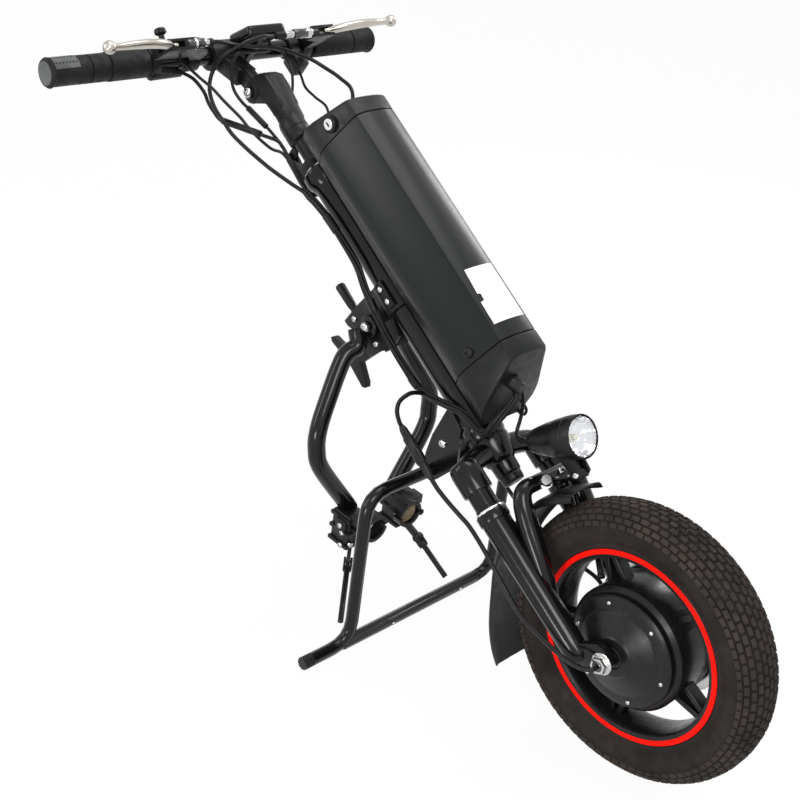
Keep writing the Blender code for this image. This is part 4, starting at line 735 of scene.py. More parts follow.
class ATTACHMENT_OT_tyre(bpy.types.Operator):
    """Tyre with its rows of small tread blocks"""
    bl_idname = "attachment.tyre"
    bl_label = "Tyre"

    def execute(self, context):
        half = [casing_point(math.radians(a)) for a in range(0, 118, 4)]
        half += [(0.1165, 0.0226), (0.1140, 0.0232), (0.1115, 0.0222), (0.1105, 0.0190)]
        shapes = [wheel_ring([(r, -x) for r, x in reversed(half[1:])] + half, steps=TYRE_STEPS)]
        bead = [(0.1215, 0.0262), (0.1225, 0.0274), (0.1235, 0.0266), (0.1225, 0.0240)]
        shapes += [wheel_ring(bead, side, TYRE_STEPS) for side in (-1, 1)]
        piece("tyre_carcass", "wheel", "tyre", shapes, ["tyre"])
        self.tread(context.scene.attachment_sizes)
        return {"FINISHED"}

    def tread(self, sizes):
        """Rows of blocks, square to the casing, with every second row set half a block round."""
        spots = []
        middle = sizes.tread_rows // 2
        for row in range(sizes.tread_rows):
            tilt = math.radians((row - middle) * TREAD_ROW_TILT)
            radius, offset = casing_point(tilt)
            for step in range(sizes.tread_count):
                angle = math.tau * (step + 0.5 * (row % 2)) / sizes.tread_count
                out = wheel_point(1.0, angle, 0.0) - WHEEL_CENTRE
                facing = out * math.cos(tilt) + X_AXIS * math.sin(tilt)
                point = wheel_point(radius, angle, offset) + facing * sizes.block_height * BLOCK_RISE
                spots.append((point, facing, X_AXIS.cross(out)))
        repeated("tread_blocks", "wheel", "tread", self.tread_block(), spots)

    def tread_block(self):
        """One block, narrower at its top, which is at the origin."""
        shape = bmesh.new()
        bmesh.ops.create_cube(shape, size=1.0)
        for vert in shape.verts:
            narrow = BLOCK_TAPER if vert.co.z > 0 else 1.0
            x, y, z = vert.co
            vert.co = (x * BLOCK_WIDTH * narrow, y * BLOCK_LENGTH * narrow, (z - 0.5) * BLOCK_DEPTH)
        return shape


class ATTACHMENT_OT_wheel(bpy.types.Operator):
    """Rim with its stripe, spokes, motor hub, cover and brake disc"""
    bl_idname = "attachment.wheel"
    bl_label = "Wheel"

    def execute(self, context):
        sizes = context.scene.attachment_sizes
        shapes = [self.rim(), self.hub_shell()]
        for pair in range(SPOKE_PAIRS):
            for side in (-1, 1):
                shapes.append(self.spoke(math.radians(7.5 + 360 / SPOKE_PAIRS * pair), side))
        piece("rim_and_hub", "wheel", "cast", shapes, ["wheel_casting"])
        stripe = [
            (0.1046, 0.0222), (0.1049, 0.0229), (0.1060, 0.0234), (0.1092, 0.0236), (0.1104, 0.0231),
            (0.1107, 0.0222),
        ]
        for side, name in SIDES:
            piece("rim_stripe_" + name, "wheel", "stripe", [wheel_ring(stripe, side)])
        self.cover(sizes)
        spots = [(wheel_point(0.0190, math.tau * step / 6, 0.0386), X_AXIS) for step in range(6)]
        screws("disc_screws", "wheel", spots, sizes.screw_radius)
        dressed("brake_rotor", "steel")
        outer, inner = wheel_point(0.1000, 1.1, 0.006), wheel_point(0.0760, 1.1, -0.006)
        valve = [ridged(outer, inner, 0.0036), ridged(inner.lerp(outer, 0.2), inner, 0.0042)]
        piece("valve_stem", "wheel", "plastic", valve)
        return {"FINISHED"}

    def rim(self):
        half = [
            (0.1110, 0.0150), (0.1110, 0.0218), (0.1103, 0.0225), (0.1018, 0.0225), (0.1008, 0.0218),
            (0.0984, 0.0165), (0.0970, 0.0090), (0.0968, 0.0),
        ]
        bed = [(0.1050, -0.0100), (0.1050, 0.0100)]
        return wheel_ring(half + [(r, -x) for r, x in reversed(half[:-1])] + bed)

    def hub_shell(self):
        """Motor's housing, open on the side that the cover closes."""
        profile = [
            (0.0665, 0.0340), (0.0690, 0.0330), (0.0710, 0.0290), (0.0710, -0.0232), (0.0704, -0.0242),
            (0.0668, -0.0283), (0.0535, -0.0283), (0.0535, 0.020), (0.0086, 0.020), (0.0086, 0.0362),
            (0.024, 0.0362), (0.026, 0.0340),
        ]
        return wheel_ring(profile, steps=HUB_STEPS)

    def spoke(self, angle, side):
        """One spoke of a pair, leaning a little towards the other at the rim."""
        inner = Vector((0.0, 0.0680, side * 0.0096))
        outer = Vector((0.0, 0.0990, side * 0.0044))
        lean = math.atan2(outer.z - inner.z, outer.y - inner.y)
        shape = block(ORIGIN, (0.0160, (outer - inner).length, 0.0068), 0.0016, segments=3)
        place = Matrix.Translation(WHEEL_CENTRE) @ Matrix.Rotation(angle + RECLINE, 4, "X")
        place = place @ Matrix.Translation((inner + outer) / 2) @ Matrix.Rotation(lean, 4, "X")
        shape.transform(place)
        return shape

    def cover(self, sizes):
        """Stepped cover of the hub, with its ring of screws."""
        profile = [
            (0.0090, -0.0288), (0.0632, -0.0288), (0.0640, -0.0300), (0.0638, -0.0330), (0.0622, -0.0350),
            (0.0590, -0.0362), (0.0500, -0.0372), (0.0492, -0.0378), (0.0484, -0.0390), (0.0470, -0.0396),
            (0.0250, -0.0476), (0.0236, -0.0480), (0.0226, -0.0486), (0.0216, -0.0494), (0.0130, -0.0498),
            (0.0120, -0.0490), (0.0110, -0.0498), (0.0090, -0.0500),
        ]
        ring = wheel_ring(profile, steps=HUB_STEPS)
        piece("hub_cover_disc", "wheel", "cast", [ring], ["hub_cover"], DISC_SHARP)
        spots = []
        for step in range(sizes.cover_screws):
            angle = math.radians(27 + 360 / sizes.cover_screws * step)
            spots.append((wheel_point(0.0560, angle, -0.0368), -X_AXIS))
        screws("hub_screws", "wheel", spots, sizes.screw_radius * 0.85)


# Fork


def leg_foot(side):
    """Foot of a fork leg's axis."""
    return Vector((side * LEG_X, LEG_Y, 0.0))


class ATTACHMENT_OT_fork(bpy.types.Operator):
    """Fork legs, arch, crown, stanchions, axle and nuts"""
    bl_idname = "attachment.fork"
    bl_label = "Fork"

    def execute(self, context):
        for side, name in SIDES:
            self.leg(side, name)
        self.axle()
        self.arch()
        self.crown()
        for side, name in SIDES:
            self.seals(side, name)
        knob = [
            (0.0, 0.2278), (0.0130, 0.2278), (0.0134, 0.2262), (0.0130, 0.2190), (0.0120, 0.2176),
            (0.0070, 0.2170), (0.0, 0.2169),
        ]
        piece("crown_plug", "steering", "satin", [turned(knob)])
        self.arch_fasteners()
        return {"FINISHED"}

    def leg(self, side, name):
        """Tapered lower leg with its dropout, its stanchion and its wheel nut."""
        tube = [
            (0.0, 0.0122), (0.0085, 0.0122), (0.0105, 0.0134), (0.0124, 0.0165), (0.0140, 0.0215),
            (0.0146, 0.0420), (0.0150, 0.0700), (0.0158, 0.1200), (0.0168, 0.1700), (0.0171, 0.1840),
            (0.0171, 0.1856), (0.0182, 0.1868), (0.0185, 0.1880), (0.0185, 0.1962), (0.0180, 0.1980),
            (0.0130, 0.1985), (0.0129, 0.1950), (0.0, 0.1950),
        ]
        dropout = [
            (-0.0040, 0.0560), (-0.0200, 0.0300), (-0.0420, 0.0200), (-0.0462, 0.0120),
            (-0.0462, -0.0020), (-0.0420, -0.0078), (-0.0260, -0.0082), (-0.0090, 0.0040),
            (0.0060, 0.0200),
        ]
        shapes = [turned(tube, leg_foot(side)), side_plate(dropout, side * 0.0597, 0.0104, 0.0032)]
        piece("fork_leg_" + name, "lowers", "gloss", shapes, ["lower_leg_" + name])
        rod = [(0.0, 0.0860), (STANCHION_RADIUS, 0.0860), (STANCHION_RADIUS, 0.2550), (0.0, 0.2550)]
        shapes = [turned(rod, leg_foot(side))]
        piece("stanchion_tube_" + name, "steering", "chrome", shapes, ["stanchion_" + name])
        outward = X_AXIS * side
        face = WHEEL_CENTRE + outward * 0.0653
        flange = [
            (0.0, 0.0), (0.0121, 0.0), (0.0125, 0.0005), (0.0122, 0.0013), (0.0100, 0.0022), (0.0, 0.0022)
        ]
        shapes = [turned(flange, face, outward)]
        shapes.append(hexagon(face + outward * 0.0012, face + outward * 0.0083, 0.0098, 0.0008))
        piece("wheel_nut_" + name, "lowers", "steel", shapes, ["axle_nut_" + name])

    def axle(self):
        """Axle with the turns of its thread at one end."""
        rings = [(0.0, -0.0753), (0.0050, -0.0753), (0.0058, -0.0745)]
        for step in range(10):
            rings += [(0.0060, -0.0738 + step * 0.0016), (0.0055, -0.0730 + step * 0.0016)]
        rings += [
            (0.0060, -0.0560), (0.0085, -0.0535), (0.0085, 0.0545), (0.0060, 0.0560), (0.0060, 0.0745),
            (0.0050, 0.0753), (0.0, 0.0753),
        ]
        piece("wheel_axle", "lowers", "dark_steel", [turned(rings, WHEEL_CENTRE, X_AXIS, 32)], ["axle"])

    def arch(self):
        """Cast arch over the wheel, thickest on each side between foot and middle, and the caliper."""
        near = [
            (-0.0540, 0.002, 0.060), (-0.0505, -0.016, 0.112), (-0.0480, -0.030, 0.158),
            (-0.0458, -0.041, 0.187), (-0.0380, -0.0465, 0.1975),
        ]
        top = [(-0.020, -0.049, 0.1985), (0.020, -0.049, 0.1985)]
        line = curved(near + top + [(-x, y, z) for x, y, z in reversed(near)], 0.003)
        middle = (len(line) - 1) / 2
        sizes = [0.0084 + 0.0034 * math.sin(math.pi * abs(i / middle - 1)) ** 2 for i in range(len(line))]
        piece("arch_casting", "lowers", "gloss", [swept(line, sizes, 20)])
        dressed("fork_arch", "gloss", angle=TUBE_SHARP)
        dressed("brake_caliper", "satin", 0.0008)

    def crown(self):
        """Crown with its yoke and sleeves, the steerer and the nut on top of the column."""
        head = [
            (0.0, 0.2800), (0.0140, 0.2800), (0.0143, 0.2747), (0.0225, 0.2747), (0.0235, 0.2738),
            (0.0235, 0.2690), (0.0226, 0.2640), (0.0205, 0.2520), (0.0180, 0.2460), (0.0155, 0.2435),
            (0.0150, 0.2300), (0.0140, 0.2282), (0.0, 0.2280),
        ]
        half = [
            (0.020, -0.001, 0.2605), (0.034, -0.002, 0.2590), (0.0480, -0.0035, 0.2555),
            (0.0570, -0.0048, 0.2500), (LEG_X, LEG_Y, 0.2440),
        ]
        yoke = curved([(-x, y, z) for x, y, z in reversed(half)] + [(0.0, 0.0, 0.2606)] + half)
        sleeve = [
            (0.0, 0.2300), (0.0129, 0.2300), (0.0129, 0.2226), (0.0168, 0.2226), (0.0174, 0.2232),
            (0.0178, 0.2250), (0.0178, 0.2490), (0.0174, 0.2540), (0.0160, 0.2580), (0.0132, 0.2606),
            (0.0080, 0.2620), (0.0, 0.2624),
        ]
        shapes = [turned(head), swept(yoke, YOKE_RADIUS, 28)]
        shapes += [turned(sleeve, leg_foot(side)) for side in (-1, 1)]
        piece("crown_casting", "steering", "gloss", shapes)
        steerer = [(0.0113, 0.2750), (0.0143, 0.2750), (0.0143, 0.6600), (0.0113, 0.6600)]
        piece("steerer_tube", "steering", "steel", [turned(steerer, closed=True)], ["fork_crown"])
        collar = [(0.0, 0.6606), (0.0185, 0.6606), (0.0185, 0.6650), (0.0, 0.6650)]
        shapes = [hexagon((0, 0, 0.6640), (0, 0, 0.6766), 0.0213, 0.0010), turned(collar)]
        piece("crown_lock_nut", "steering", "satin", shapes, ["lock_nut"])
        washer = [
            (0.0160, 0.6622), (0.0196, 0.6622), (0.0202, 0.6630), (0.0196, 0.6640), (0.0160, 0.6640)
        ]
        piece("lock_washer", "steering", "chrome", [turned(washer, closed=True)])

    def seals(self, side, name):
        """Bright ring on top of a leg, and the short boot above it."""
        ring = [
            (0.0129, 0.1979), (0.0170, 0.1979), (0.0174, 0.1987), (0.0172, 0.2000), (0.0163, 0.2010),
            (0.0129, 0.2014),
        ]
        boot = [
            (0.0129, 0.2013), (0.0152, 0.2013), (0.0152, 0.2040), (0.0142, 0.2048), (0.0142, 0.2228),
            (0.0129, 0.2228),
        ]
        piece("wiper_ring_" + name, "lowers", "chrome", [turned(ring, leg_foot(side), closed=True)])
        item = piece("fork_boot_" + name, None, "gloss", [turned(boot, leg_foot(side), closed=True)])
        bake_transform(item)

    def arch_fasteners(self):
        """Two round nuts on the front of the arch and four bolts round it."""
        nut = [
            (0.0, 0.0), (0.0080, 0.0), (0.0084, 0.0006), (0.0082, 0.0016), (0.0066, 0.0020),
            (0.0060, 0.0062), (0.0052, 0.0070), (0.0, 0.0070),
        ]
        shapes = []
        for side in (-1, 1):
            shapes.append(turned(nut, (side * 0.0150, -0.0560, 0.1935), (side * 0.45, -0.88, 0.12), 32))
        piece("arch_nuts", "lowers", "steel", shapes)
        spots = [((side * 0.0300, -0.0515, 0.2035), (0, -0.3, 1.0)) for side in (-1, 1)]
        spots += [((side * 0.0480, -0.0460, 0.1880), (side, -0.6, 0.3)) for side in (-1, 1)]
        screws("arch_bolts", "lowers", spots, 0.0042)


class ATTACHMENT_OT_mudguard(bpy.types.Operator):
    """Moulded mudguard with its rolled edges"""
    bl_idname = "attachment.mudguard"
    bl_label = "Mudguard"

    def execute(self, context):
        sheets = [self.sheet(0.0009), self.sheet(-0.0009)]
        piece("mudguard_shell", "lowers", "plastic", [shell_between(sheets)], ["mudguard"])
        return {"FINISHED"}

    def sheet(self, lift):
        """One face of the guard, as rows of points from its tail to its front lip."""
        marks = [
            (math.radians(a), radius)
            for a, radius in ((-41, 0.205), (-9, 0.189), (32, 0.1820), (50, 0.1730))
        ]
        half = (
            (-0.0306, 0.0072), (-0.0296, 0.0040), (-0.0270, 0.0018), (-0.0200, 0.0004), (-0.0080, 0.0),
            (0.0, -0.0004),
        )
        section = half + tuple((-x, drop) for x, drop in reversed(half[:-1]))
        low, high = marks[0][0], marks[-1][0]
        rows = []
        for row in range(49):
            angle = low + (high - low) * row / 48
            radius = marks[-1][1]
            for (a, ra), (b, rb) in zip(marks, marks[1:]):
                if a <= angle <= b:
                    share = (angle - a) / (b - a)
                    share = share * share * (3 - 2 * share)
                    radius = ra + (rb - ra) * share
            taper = 1.0 - 0.10 * max(0.0, (angle - math.radians(30)) / math.radians(20)) ** 2
            back, up = math.cos(angle), math.sin(angle)
            line = []
            for x, drop in section:
                reach = radius - drop + lift
                line.append(from_ground(x * taper, reach * back, TYRE_RADIUS + reach * up))
            rows.append(line)
        return rows


class ATTACHMENT_OT_headlight(bpy.types.Operator):
    """Headlight with its reflector, lens and foot"""
    bl_idname = "attachment.headlight"
    bl_label = "Headlight"

    def execute(self, context):
        body = [
            (0.0, 0.0), (0.0088, 0.0), (0.0100, 0.0012), (0.0130, 0.0040), (0.0150, 0.0110),
            (0.0172, 0.0200), (0.0196, 0.0310), (0.0215, 0.0420), (0.0218, 0.0424), (0.0230, 0.0510),
            (0.0240, 0.0600), (0.0236, 0.0604), (0.0236, 0.0620), (0.0243, 0.0626), (0.0245, 0.0738),
            (0.0240, 0.0750), (0.0232, 0.0750), (0.0228, 0.0742), (0.0224, 0.0680), (0.0150, 0.0590),
            (0.0, 0.0570),
        ]
        shapes = [turned(body, LAMP_BACK, REACH)]
        foot = [
            (-0.0830, 0.2080), (-0.1040, 0.1980), (-0.1010, 0.1775), (-0.0930, 0.1738), (-0.0860, 0.1790)
        ]
        for side in (-1, 1):
            shapes.append(side_plate(foot, side * 0.0066, 0.0034, 0.0008))
        bend = LAMP_BACK - REACH * 0.010 + Vector((0, 0.002, 0.002))
        boot = curved([LAMP_BACK + REACH * 0.004, LAMP_BACK - REACH * 0.006, bend, LAMP_LEAD_END], 0.002)
        shapes.append(swept(boot, [0.0046 - 0.0018 * i / (len(boot) - 1) for i in range(len(boot))]))
        piece("headlight_shell", "lamp", "plastic", shapes, ["headlight_body"])
        bowl = [
            (0.0222, 0.0741), (0.0205, 0.0690), (0.0170, 0.0640), (0.0120, 0.0605), (0.0060, 0.0590),
            (0.0, 0.0588), (0.0, 0.0580), (0.0150, 0.0595), (0.0224, 0.0690),
        ]
        shapes = [turned(bowl, LAMP_BACK, REACH, 18, closed=True)]
        piece("headlight_reflector", "lamp", "chrome", shapes, angle=FACET_SHARP)
        emitter = [(0.0, 0.0655), (0.0030, 0.0650), (0.0038, 0.0635), (0.0038, 0.0590), (0.0, 0.0590)]
        piece("headlight_emitter", "lamp", "led", [turned(emitter, LAMP_BACK, REACH, 24)])
        lens = [
            (0.0, 0.0790), (0.0080, 0.0782), (0.0150, 0.0766), (0.0205, 0.0745), (0.0220, 0.0738),
            (0.0220, 0.0728), (0.0150, 0.0750), (0.0080, 0.0766), (0.0, 0.0774),
        ]
        piece("headlight_glass", "lamp", "lens", [turned(lens, LAMP_BACK, REACH)], ["headlight_lens"])
        pin = [((-0.0084, -0.093, 0.1795), -X_AXIS), ((0.0084, -0.093, 0.1795), X_AXIS)]
        screws("lamp_bolts", "lamp", pin, 0.0042)
        return {"FINISHED"}


# Column and battery


def battery_outline(inset=0.0):
    """Outline of the case, drawn in towards its middle by an inset."""
    half = [
        (0.0, BATTERY_FRONT - 0.0033), (0.0085, BATTERY_FRONT - 0.0031),
        (0.0160, BATTERY_FRONT - 0.0024), (0.0240, BATTERY_FRONT - 0.0004),
        (0.0285, BATTERY_FRONT + 0.0016), (0.0305, BATTERY_FRONT + 0.0050),
        (BATTERY_HALF_WIDTH - 0.0004, -0.0740), (BATTERY_HALF_WIDTH, -0.0700),
        (BATTERY_HALF_WIDTH, -0.0620), (BATTERY_HALF_WIDTH - 0.0010, -0.0560), (0.0360, -0.0440),
        (0.0340, -0.0405), (0.0320, BATTERY_BACK),
    ]
    middle = (BATTERY_FRONT + BATTERY_BACK) / 2
    shrink = 1.0 - inset / BATTERY_HALF_WIDTH
    half = [(x * shrink, middle + (y - middle) * shrink) for x, y in half]
    return half + [(-x, y) for x, y in reversed(half) if x > 0.0]


def front_of_case(x):
    """How far forward the case's front stands at a distance from its middle."""
    edge = [point for point in battery_outline() if point[0] >= 0.0 and point[1] < -0.11]
    for (first, near), (second, far) in zip(edge, edge[1:]):
        if first <= abs(x) <= second:
            return near + (far - near) * (abs(x) - first) / (second - first)
    return edge[-1][1]


def top_of_cap(y):
    """Height of the lid's sloping top at a place from front to back."""
    return LID_HEIGHT + LID_SLOPE * (y - LID_PLACE)


def bottom_of_cap(y):
    """Height of the base's sloping underside at a place from front to back."""
    return BASE_HEIGHT + BASE_SLOPE * (y - BASE_PLACE)


def lofted(layers):
    """Closed shell through outlines of equal length, each a list of points."""
    shape = bmesh.new()
    rings = [[shape.verts.new(point) for point in layer] for layer in layers]
    for first, second in zip(rings, rings[1:]):
        for step in range(len(first)):
            after = (step + 1) % len(first)
            shape.faces.new((first[step], first[after], second[after], second[step]))
    shape.faces.new(rings[0])
    shape.faces.new(rings[-1])
    return settled(shape)


def case_layers(levels):
    """Outlines of the battery at (height, inset) pairs; a height may be a function of y."""
    layers = []
    for height, inset in levels:
        layers.append(
            [(x, y, height(y) if callable(height) else height) for x, y in battery_outline(inset)]
        )
    return layers


class ATTACHMENT_OT_battery(bpy.types.Operator):
    """Battery case, its two caps, label, screw, gland and lock"""
    bl_idname = "attachment.battery"
    bl_label = "Battery"

    def execute(self, context):
        case = [
            (BOTTOM_SEAM + 0.0004, 0.0008), (BOTTOM_SEAM + 0.0010, 0.0002), (TOP_SEAM - 0.0010, 0.0002),
            (TOP_SEAM - 0.0004, 0.0008),
        ]
        lid = [(TOP_SEAM + 0.0002, 0.0009), (TOP_SEAM + 0.0008, 0.0001)]
        base = []
        for depth, inset in ((0.0030, 0.0), (0.0014, 0.0005), (0.0004, 0.0014), (0.0, 0.0030)):
            lid.append((lambda y, depth=depth: top_of_cap(y) - depth, inset))
            base.insert(0, (lambda y, depth=depth: bottom_of_cap(y) + depth, inset))
        base += [(BOTTOM_SEAM - 0.0008, 0.0001), (BOTTOM_SEAM - 0.0002, 0.0009)]
        for name, material, levels, node in (
            ("battery_shell", "case", case, "battery_case"),
            ("battery_lid", "cap", lid, "battery_top_cap"),
            ("battery_base", "cap", base, "battery_bottom_cap"),
        ):
            piece(name, "column", material, [lofted(case_layers(levels))], [node], CASE_SHARP)
        self.label()
        chamfer_normal = (-0.9649, -0.2628, 0.0)
        screws("base_screw", "column", [((-0.0400, -0.0860, 0.3520), chamfer_normal)], 0.0060, "cap")
        gland = [
            (0.0, 0.0015), (0.0088, 0.0015), (0.0090, -0.0030), (0.0074, -0.0050), (0.0070, -0.0140),
            (0.0060, -0.0160), (0.0, -0.0160),
        ]
        shapes = [turned(gland, (-0.0120, -0.0920, 0.3035), BASE_NORMAL, 32)]
        piece("loom_gland", "column", "plastic", shapes)
        self.lock()
        return {"FINISHED"}

    def label(self):
        """Bare paper label that wraps the front, with a notch in one edge."""
        right_edge = 0.0230
        marks = (
            (0.4290, -0.0200), (0.3985, -0.0220), (0.3975, -0.0185), (0.3890, -0.0190), (0.3880, -0.0240),
            (0.3595, -0.0245),
        )
        sheets = []
        for lift in (0.0001, 0.0004):
            sheet = []
            for height, left in marks:
                across = [left + (right_edge - left) * step / 12 for step in range(13)]
                sheet.append([(x, front_of_case(x) - lift, height) for x in across])
            sheets.append(sheet)
        piece("bare_label", "column", "paper", [shell_between(sheets)])

    def lock(self):
        """Key lock on the right of the lid."""
        face = Vector((-0.0395, -0.0920, 0.6630))
        collar = [
            (0.0070, -0.0060), (0.0092, -0.0060), (0.0104, -0.0040), (0.0104, 0.0010), (0.0092, 0.0024),
            (0.0074, 0.0024), (0.0070, 0.0014),
        ]
        piece("lock_collar", "column", "plastic", [turned(collar, face, -X_AXIS, 48, closed=True)])
        barrel = [
            (0.0, 0.0022), (0.0010, 0.0022), (0.0010, 0.0030), (0.0064, 0.0030), (0.0069, 0.0024),
            (0.0070, 0.0010), (0.0070, -0.0100), (0.0, -0.0100),
        ]
        piece("key_barrel_face", "key", "chrome", [turned(barrel, face, -X_AXIS, 40)], ["key_barrel"])
        # Black block flush with the barrel's face: painted shade standing for the depth of the key slot
        slot = block(face - X_AXIS * 0.0030, (0.0012, 0.0016, 0.0062), 0.0002)
        piece("key_slot_dark", "key", "plastic", [slot])


class ATTACHMENT_OT_column(bpy.types.Operator):
    """Column tube with its plates, bracket, pin and lever"""
    bl_idname = "attachment.column"
    bl_label = "Column"

    def execute(self, context):
        dressed("column_tube", "gloss")
        cup = [
            (0.0160, 0.2765), (0.0215, 0.2765), (0.0222, 0.2773), (0.0222, 0.2822), (0.0215, 0.2830),
            (0.0190, 0.2832), (0.0190, 0.2848), (0.0200, 0.2850), (0.0206, 0.2857), (0.0206, 0.2922),
            (0.0198, 0.2932), (0.0160, 0.2935),
        ]
        piece("lower_cup", "column", "gloss", [turned(cup, closed=True)])
        ring = [(0.0185, 0.2834), (0.0203, 0.2834), (0.0203, 0.2846), (0.0185, 0.2846)]
        piece("lower_cup_ring", "column", "chrome", [turned(ring, closed=True)])
        dressed("frame_bracket", "satin", 0.0005)
        dressed("frame_lever", "plastic", 0.0012)
        pin = [
            (0.0, 0.5455), (0.0040, 0.5458), (0.0056, 0.5448), (0.0064, 0.5432), (0.0056, 0.5160),
            (0.0048, 0.5105), (0.0048, 0.5013), (0.0030, 0.5010), (0.0030, 0.4868), (0.0, 0.4865),
        ]
        piece("plunger_knob", "latch_pin", "plastic", [turned(pin, (0.0, 0.0785, 0.0))], ["lock_pin"])
        marks = (
            (0.0156, 0.0700, 0.4930), (0.0156, 0.0600, 0.4500), (0.0272, -0.0070, 0.4870),
            (0.0272, -0.0070, 0.4700),
        )
        spots = [((side * x, y, z), X_AXIS * side) for side in (-1, 1) for x, y, z in marks]
        screws("bracket_bolts", "column", spots, 0.0040)
        spots = [((side * 0.0206, 0.0460, 0.3020), X_AXIS * side) for side in (-1, 1)]
        screws("plate_bolts", "column", spots, 0.0055)
        return {"FINISHED"}


class ATTACHMENT_OT_stand(bpy.types.Operator):
    """Folding stand"""
    bl_idname = "attachment.stand"
    bl_label = "Stand"

    def execute(self, context):
        dressed("stand", "gloss", angle=TUBE_SHARP)
        foot = from_ground(-0.1995, 0.301, 0.008)
        piece("stand_cap", "stand_frame", "grip", [ridged(foot, foot + X_AXIS * 0.014, 0.0079, 0.0012)])
        spots = [(from_ground(x, 0.2930, 0.0085), (0.0, -0.537, 0.843)) for x in (-0.060, 0.060)]
        screws("stand_rivets", "stand_frame", spots, 0.0022)
        return {"FINISHED"}


class ATTACHMENT_OT_docking(bpy.types.Operator):
    """Swinging frame and the two wheelchair clamps"""
    bl_idname = "attachment.docking"
    bl_label = "Docking frame"

    def execute(self, context):
        self.frame_tubes()
        for name in ("right", "left"):
            dressed("clamp_body_" + name, "satin", 0.0006)
            dressed("clamp_jaw_" + name, "satin")
            dressed("clamp_lever_" + name, "plastic")
        for side, name in SIDES:
            self.clamp_details(side, name)
        spots = [(BARREL + X_AXIS * side * 0.0270, X_AXIS * side) for side in (-1, 1)]
        screws("barrel_bolt_heads", "docking", spots, 0.0062)
        return {"FINISHED"}

    def frame_tubes(self):
        """Barrel with its disc and bolt, and the two bent tubes down to the clamps."""
        shapes = [ridged(BARREL - X_AXIS * 0.0118, BARREL + X_AXIS * 0.0118, 0.0130, 0.0010, 48)]
        shapes.append(ridged(BARREL - X_AXIS * 0.0200, BARREL + X_AXIS * 0.0200, 0.0050))
        shapes.append(ridged(BARREL - X_AXIS * 0.0050, BARREL + X_AXIS * 0.0050, 0.0222, 0.0008, 64))
        bends = (
            (0.0490, 0.448, 0.303), (0.0790, 0.4370, 0.2550), (0.0940, 0.4300, 0.2250),
            (0.0960, 0.4270, 0.2000), (0.0880, 0.4230, 0.1720), (0.0410, 0.4170, 0.1060),
            (0.0390, 0.4168, 0.1025),
        )
        for side in (-1, 1):
            across = X_AXIS * side
            shapes.append(ridged(BARREL + across * 0.0154, BARREL + across * 0.0232, 0.0130, 0.0010, 48))
            shapes.append(ridged(BARREL + across * 0.0220, BARREL + across * 0.0270, 0.0068, 0.0008, 32))
            marks = [
                BARREL + Vector((side * 0.0285, 0.0130, 0.0060)),
                BARREL + Vector((side * 0.0310, 0.0240, -0.0100)),
            ]
            marks += [from_ground(side * x, y, z) for x, y, z in bends]
            shapes.append(swept(curved(marks), DOCKING_TUBE_RADIUS, 28))
        piece("docking_tubes", "docking", "gloss", shapes, ["docking_frame"], TUBE_SHARP)

    def clamp_details(self, side, name):
        """Rubber lining, ribs and bolts of one clamp."""
        forward = from_ground(0.0, 1.0, 0.0) - from_ground(0.0, 0.0, 0.0)
        lining = [(0.0125, 0.0), (0.0139, 0.0), (0.0139, 0.0110), (0.0125, 0.0110)]
        middle = from_ground(side * 0.0300, 0.3770, 0.0900)
        rubber = "tan" if side > 0 else "grip"
        shapes = [turned(lining, middle, forward, 48, closed=True)]
        piece("clamp_lining_" + name, "docking", rubber, shapes)
        level = Matrix.Rotation(math.pi / 2 - RECLINE, 4, "X")
        shapes = []
        for height in (0.0600, 0.0790, 0.0980):
            middle = from_ground(side * 0.0440, 0.4080, height)
            shapes.append(block(middle, (0.0320, 0.0350, 0.0052), 0.0010, level))
        middle = from_ground(side * 0.0590, 0.4040, 0.0890)
        shapes.append(block(middle, (0.0060, 0.0180, 0.0180), 0.0012, level))
        piece("clamp_ribs_" + name, "docking", "satin", shapes)
        outward = X_AXIS * side
        spots = [(from_ground(side * 0.0600, 0.4010, height), outward) for height in (0.0600, 0.0790)]
        spots.append((from_ground(side * 0.0620, 0.4040, 0.0890), outward))
        spots += [(from_ground(side * x, 0.3906, 0.0640), -forward) for x in (0.0360, 0.0530)]
        screws("clamp_bolts_" + name, "docking", spots, 0.0038)


# Handlebar


